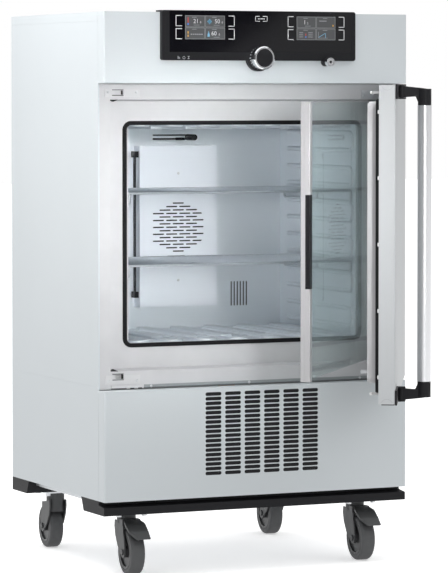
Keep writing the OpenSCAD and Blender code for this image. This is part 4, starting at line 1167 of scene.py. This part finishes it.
@dataclass
class TestSpace(Trim):
    """Pressed ridges in the ceiling and the floor of the test space."""

    height: float = 480.0
    count: int = 7
    pitch: float = 85.2
    # Width, depth and rise of a ridge, with what of it lies in the sheet.
    ridge: Triple = (30.0, 285.0, 7.0)
    root: float = 5.0
    ceiling_root: float = 1.0
    rounding: float = 3.4
    rounding_steps: int = 4
    setback: float = 95.0

    def build(self) -> None:
        """Build one ridge, copy it along both rows and join them."""
        low, high = box_mm("inner_gasket")
        middle = (low + high) / 2.0
        width, depth, rise = self.ridge
        left = middle.x - (self.count - 1) / 2.0 * self.pitch - width / 2.0
        front = high.y + self.setback
        floor = middle.z - self.height / 2.0
        first = self.bench.block("ridge", (left, front, floor - self.root),
                                 (left + width, front + depth, floor + rise), self.rounding,
                                 self.rounding_steps)
        self.bench.smooth(first)
        lift = self.height - rise + self.ceiling_root
        steps = [(i * self.pitch, 0.0, k * lift) for k in range(2) for i in range(self.count) if i or k]
        self.dress(self.bench.joined(self.bench.row(first, steps), "space_ridges"), "liner_side", "stainless")


@dataclass
class DoorTrim(Trim):
    """Clips, caps and the lower edge of the outer door, measured with the door closed."""

    axis: Pair = (722.0, 17.0)
    opening: float = 60.75
    edge: float = 2.8
    front: float = -2.0
    rear: float = 32.0
    low: float = 419.0
    high: float = 1073.0
    # Lowest and highest corner of a clip from the door's edge, its rear face and the clip's height.
    clip_low: Triple = (0.6, -1.0, -4.0)
    clip_high: Triple = (7.0, 2.6, 4.0)
    clip_heights: tuple[float, ...] = (1017.7, 882.6, 746.6, 610.5, 474.4)
    clip_rounding: float = 1.6
    clip_rounding_steps: int = 3
    foot_x: Pair = (0.4, 40.0)
    foot_inset: Pair = (1.0, 6.0)
    foot_z: Pair = (-1.9, -0.1)
    cap_inset: float = 4.5
    cap_rise: float = 6.0
    cap_start: Pair = (-11.0, 1.0)
    cap_sweep: float = 131.0
    cap_wire: float = 0.32

    def clips(self) -> Piece:
        """Return the white clips of the plug."""
        made = []
        for z in self.clip_heights:
            place = (self.edge, self.rear, z)
            low = tuple(a + b for a, b in zip(place, self.clip_low))
            high = tuple(a + b for a, b in zip(place, self.clip_high))
            made.append(self.bench.block("clip", low, high, self.clip_rounding, self.clip_rounding_steps))
        return self.bench.joined(made, "door_clips")

    def foot(self) -> Piece:
        """Return the dark strip under the door's edge."""
        left, right = (self.edge + x for x in self.foot_x)
        bottom, top = (self.low + z for z in self.foot_z)
        near, far = self.front + self.foot_inset[0], self.rear - self.foot_inset[1]
        return self.bench.block("door_foot", (left, near, bottom), (right, far, top))

    def caps(self) -> Piece:
        """Return the round lines of the end caps on the door's edge."""
        middle = (self.front + self.rear) / 2.0
        arcs = []
        for z, sign in ((self.high - self.cap_inset, 1.0), (self.low + self.cap_inset, -1.0)):
            centre = (self.edge, middle, z + sign * self.cap_rise)
            start = (self.edge, middle + self.cap_start[0], z + sign * self.cap_start[1])
            axis = (-sign, 0.0, 0.0)
            arcs.append(self.bench.arc("cap", centre, start, axis, self.cap_sweep, self.cap_wire))
        return self.bench.joined(arcs, "door_caps")

    def build(self) -> None:
        """Build the door's small pieces in their closed place and swing them open."""
        turn = swing(self.axis, self.opening)
        self.dress(self.clips(), "white_part", "frame_moulding", "outer_door", turn)
        self.dress(self.foot(), "black_plastic", "black_moulding", "outer_door", turn)
        self.dress(self.caps(), "print_grey", "casing_paint", "outer_door", turn)


@dataclass(frozen=True)
class SoftBox:
    """An area lamp, with its places in metres, its power in watts and its beam in degrees."""

    name: str
    place: Triple
    target: Triple
    size: Pair
    power: float
    beam: float = 180.0
    mirrored: bool = True

    def build(self) -> None:
        """Hang the lamp and aim it at its target."""
        data = bpy.data.lights.new(self.name, "AREA")
        data.shape = "RECTANGLE"
        data.size, data.size_y = self.size
        data.energy, data.spread = self.power, math.radians(self.beam)
        lamp = bpy.data.objects.new(self.name, data)
        bpy.context.scene.collection.objects.link(lamp)
        lamp.location = self.place
        lamp.rotation_euler = (Vector(self.place) - Vector(self.target)).to_track_quat("Z", "Y").to_euler()
        lamp.visible_glossy = self.mirrored


@dataclass(frozen=True)
class Card:
    """A flat grey card that only mirrors and glossy surfaces see, with its corners in order."""

    name: str
    corners: tuple[Triple, Triple, Triple, Triple]
    tone: float
    tones: Pair = (0.9, 1.0)
    weave: float = 30.0

    def build(self) -> None:
        """Stand the card in its place."""
        bpy.ops.object.select_all(action="DESELECT")
        bpy.ops.mesh.primitive_plane_add(size=1.0)
        card = bpy.context.object
        card.name = self.name
        first, second, third, fourth = self.corners
        for vertex, corner in zip(card.data.vertices, (first, second, fourth, third)):
            vertex.co = at(*corner)
        s = Shader(self.name)
        grey = s.tones(s.noise(self.weave), (self.tone,) * 3, self.tones)
        s.set(base_color=grey, roughness=1.0, specular_ior_level=0.0)
        card.data.materials.append(s.material)
        card.visible_camera = card.visible_diffuse = card.visible_shadow = False


@dataclass
class Studio:
    """Pale floor, soft lights and the camera of the photograph."""

    eye_mm: Triple = (-2741.942, -6635.414, 1052.427)
    yaw: float = 24.759
    pitch: float = -2.317
    lens: float = 208.458
    sensor: float = 36.0
    shift: Pair = (-0.0239, -0.1)
    clip: Pair = (0.1, 60.0)
    ambient: float = 0.50
    floor_size: float = 60.0
    floor_tones: Pair = (0.93, 0.95)
    floor_cloud: float = 0.6
    floor_rough: float = 0.9
    floor_glow: float = 0.4
    sun_power: float = 1.8
    sun_softness: float = 110.0
    sun_height: float = 4.0
    boxes: tuple[SoftBox, ...] = (
        SoftBox("key", (-1.1, 0.1, 1.95), (-0.37, 0.2, 1.25), (0.7, 0.7), 11.0),
        SoftBox("fill", (-1.0, -4.6, 1.2), (0.2, 0.0, 0.5), (1.6, 0.9), 29.0, mirrored=False),
        SoftBox("beam", (-0.9, -3.0, 1.1), (-0.06, 0.45, 0.80), (0.5, 0.5), 0.95, beam=16.0),
    )
    cards: tuple[Card, ...] = (
        Card("grey_card", ((-4500.0, -6000.0, 0.0), (-4500.0, 2500.0, 0.0), (-4500.0, 2500.0, 3500.0),
                           (-4500.0, -6000.0, 3500.0)), 0.1),
        Card("dark_card", ((1500.0, -5000.0, 544.0), (2810.0, -5000.0, 1372.0), (3500.0, -5000.0, 2400.0),
                           (1500.0, -5000.0, 2400.0)), 0.01),
    )

    def camera(self) -> None:
        """Place the camera at the photograph's view."""
        data = bpy.data.cameras.new("view")
        data.lens, data.sensor_width = self.lens, self.sensor
        data.shift_x, data.shift_y = self.shift
        data.clip_start, data.clip_end = self.clip
        camera = bpy.data.objects.new("view", data)
        bpy.context.scene.collection.objects.link(camera)
        camera.location = at(*self.eye_mm)
        camera.rotation_euler = (math.radians(90.0 + self.pitch), 0.0, -math.radians(self.yaw))
        bpy.context.scene.camera = camera

    def sun(self) -> None:
        """Add soft light from straight above, which mostly reaches the floor."""
        data = bpy.data.lights.new("above", "SUN")
        data.energy, data.angle = self.sun_power, math.radians(self.sun_softness)
        lamp = bpy.data.objects.new("above", data)
        lamp.location = (0.0, 0.0, self.sun_height)
        bpy.context.scene.collection.objects.link(lamp)

    def sky(self) -> None:
        """Make the world light: white behind the object, softer all round."""
        world = bpy.data.worlds.new("studio")
        world.use_nodes = True
        nodes = Nodes(world.node_tree)
        path = nodes.node("ShaderNodeLightPath")
        level = nodes.node("ShaderNodeMapRange", {}, {"Value": path.outputs["Is Camera Ray"],
                                                      "To Min": self.ambient, "To Max": 1.0})
        back = nodes.tree.nodes["Background"]
        nodes.feed(back.inputs["Color"], (1.0, 1.0, 1.0))
        nodes.feed(back.inputs["Strength"], level.outputs[0])
        bpy.context.scene.world = world

    def floor(self) -> None:
        """Lay the pale floor, which glows a little so that its shadows stay light."""
        bpy.ops.object.select_all(action="DESELECT")
        bpy.ops.mesh.primitive_plane_add(size=self.floor_size, location=(0.0, 0.0, 0.0))
        floor = bpy.context.object
        floor.name = "floor"
        s = Shader("floor_white")
        white = (1.0, 1.0, 1.0)
        s.set(base_color=s.tones(s.noise(self.floor_cloud), white, self.floor_tones),
              roughness=self.floor_rough, specular_ior_level=0.0, emission_color=white,
              emission_strength=self.floor_glow)
        floor.data.materials.append(s.material)
        floor.visible_diffuse = False

    def build(self) -> None:
        """Make the floor, the world light, the lamps, the cards and the camera."""
        self.sky()
        self.floor()
        for box in self.boxes:
            box.build()
        self.sun()
        for card in self.cards:
            card.build()
        bpy.context.scene.view_settings.view_transform = "Standard"
        self.camera()


def dress_nodes(nodes: dict[str, Piece], finishes: Finishes) -> None:
    """Give every node of the frame its finish.

    Args:
        nodes: The frame's nodes by name.
        finishes: The finishes.
    """
    angle = math.radians(AXLE_DEG)
    axle = (math.cos(angle), math.sin(angle), 0.0)
    for name, node in nodes.items():
        node.data.materials.clear()
        if name.startswith("caster_wheel"):
            low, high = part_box(name)
            finish = WheelFinish(name.replace("caster_", ""), tuple((low + high) / 2.0), axle).make()
        else:
            finish = finishes[FINISH_OF_NODE.get(name, "caster_grey")]
        node.data.materials.append(finish)
        log.info("finish %s: %s", name, finish.name)


def main() -> None:
    """Build the studio, dress the frame and add the small pieces."""
    logging.basicConfig(level=logging.INFO, format="%(message)s")
    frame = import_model()
    finishes = Finishes()
    bench = Bench()
    dress_nodes(frame["nodes"], finishes)
    ControlUnit(bench, finishes).build()
    RecessTrim(bench, finishes).build()
    TestSpace(bench, finishes).build()
    DoorTrim(bench, finishes).build()
    Studio().build()


if __name__ == "__main__":
    main()
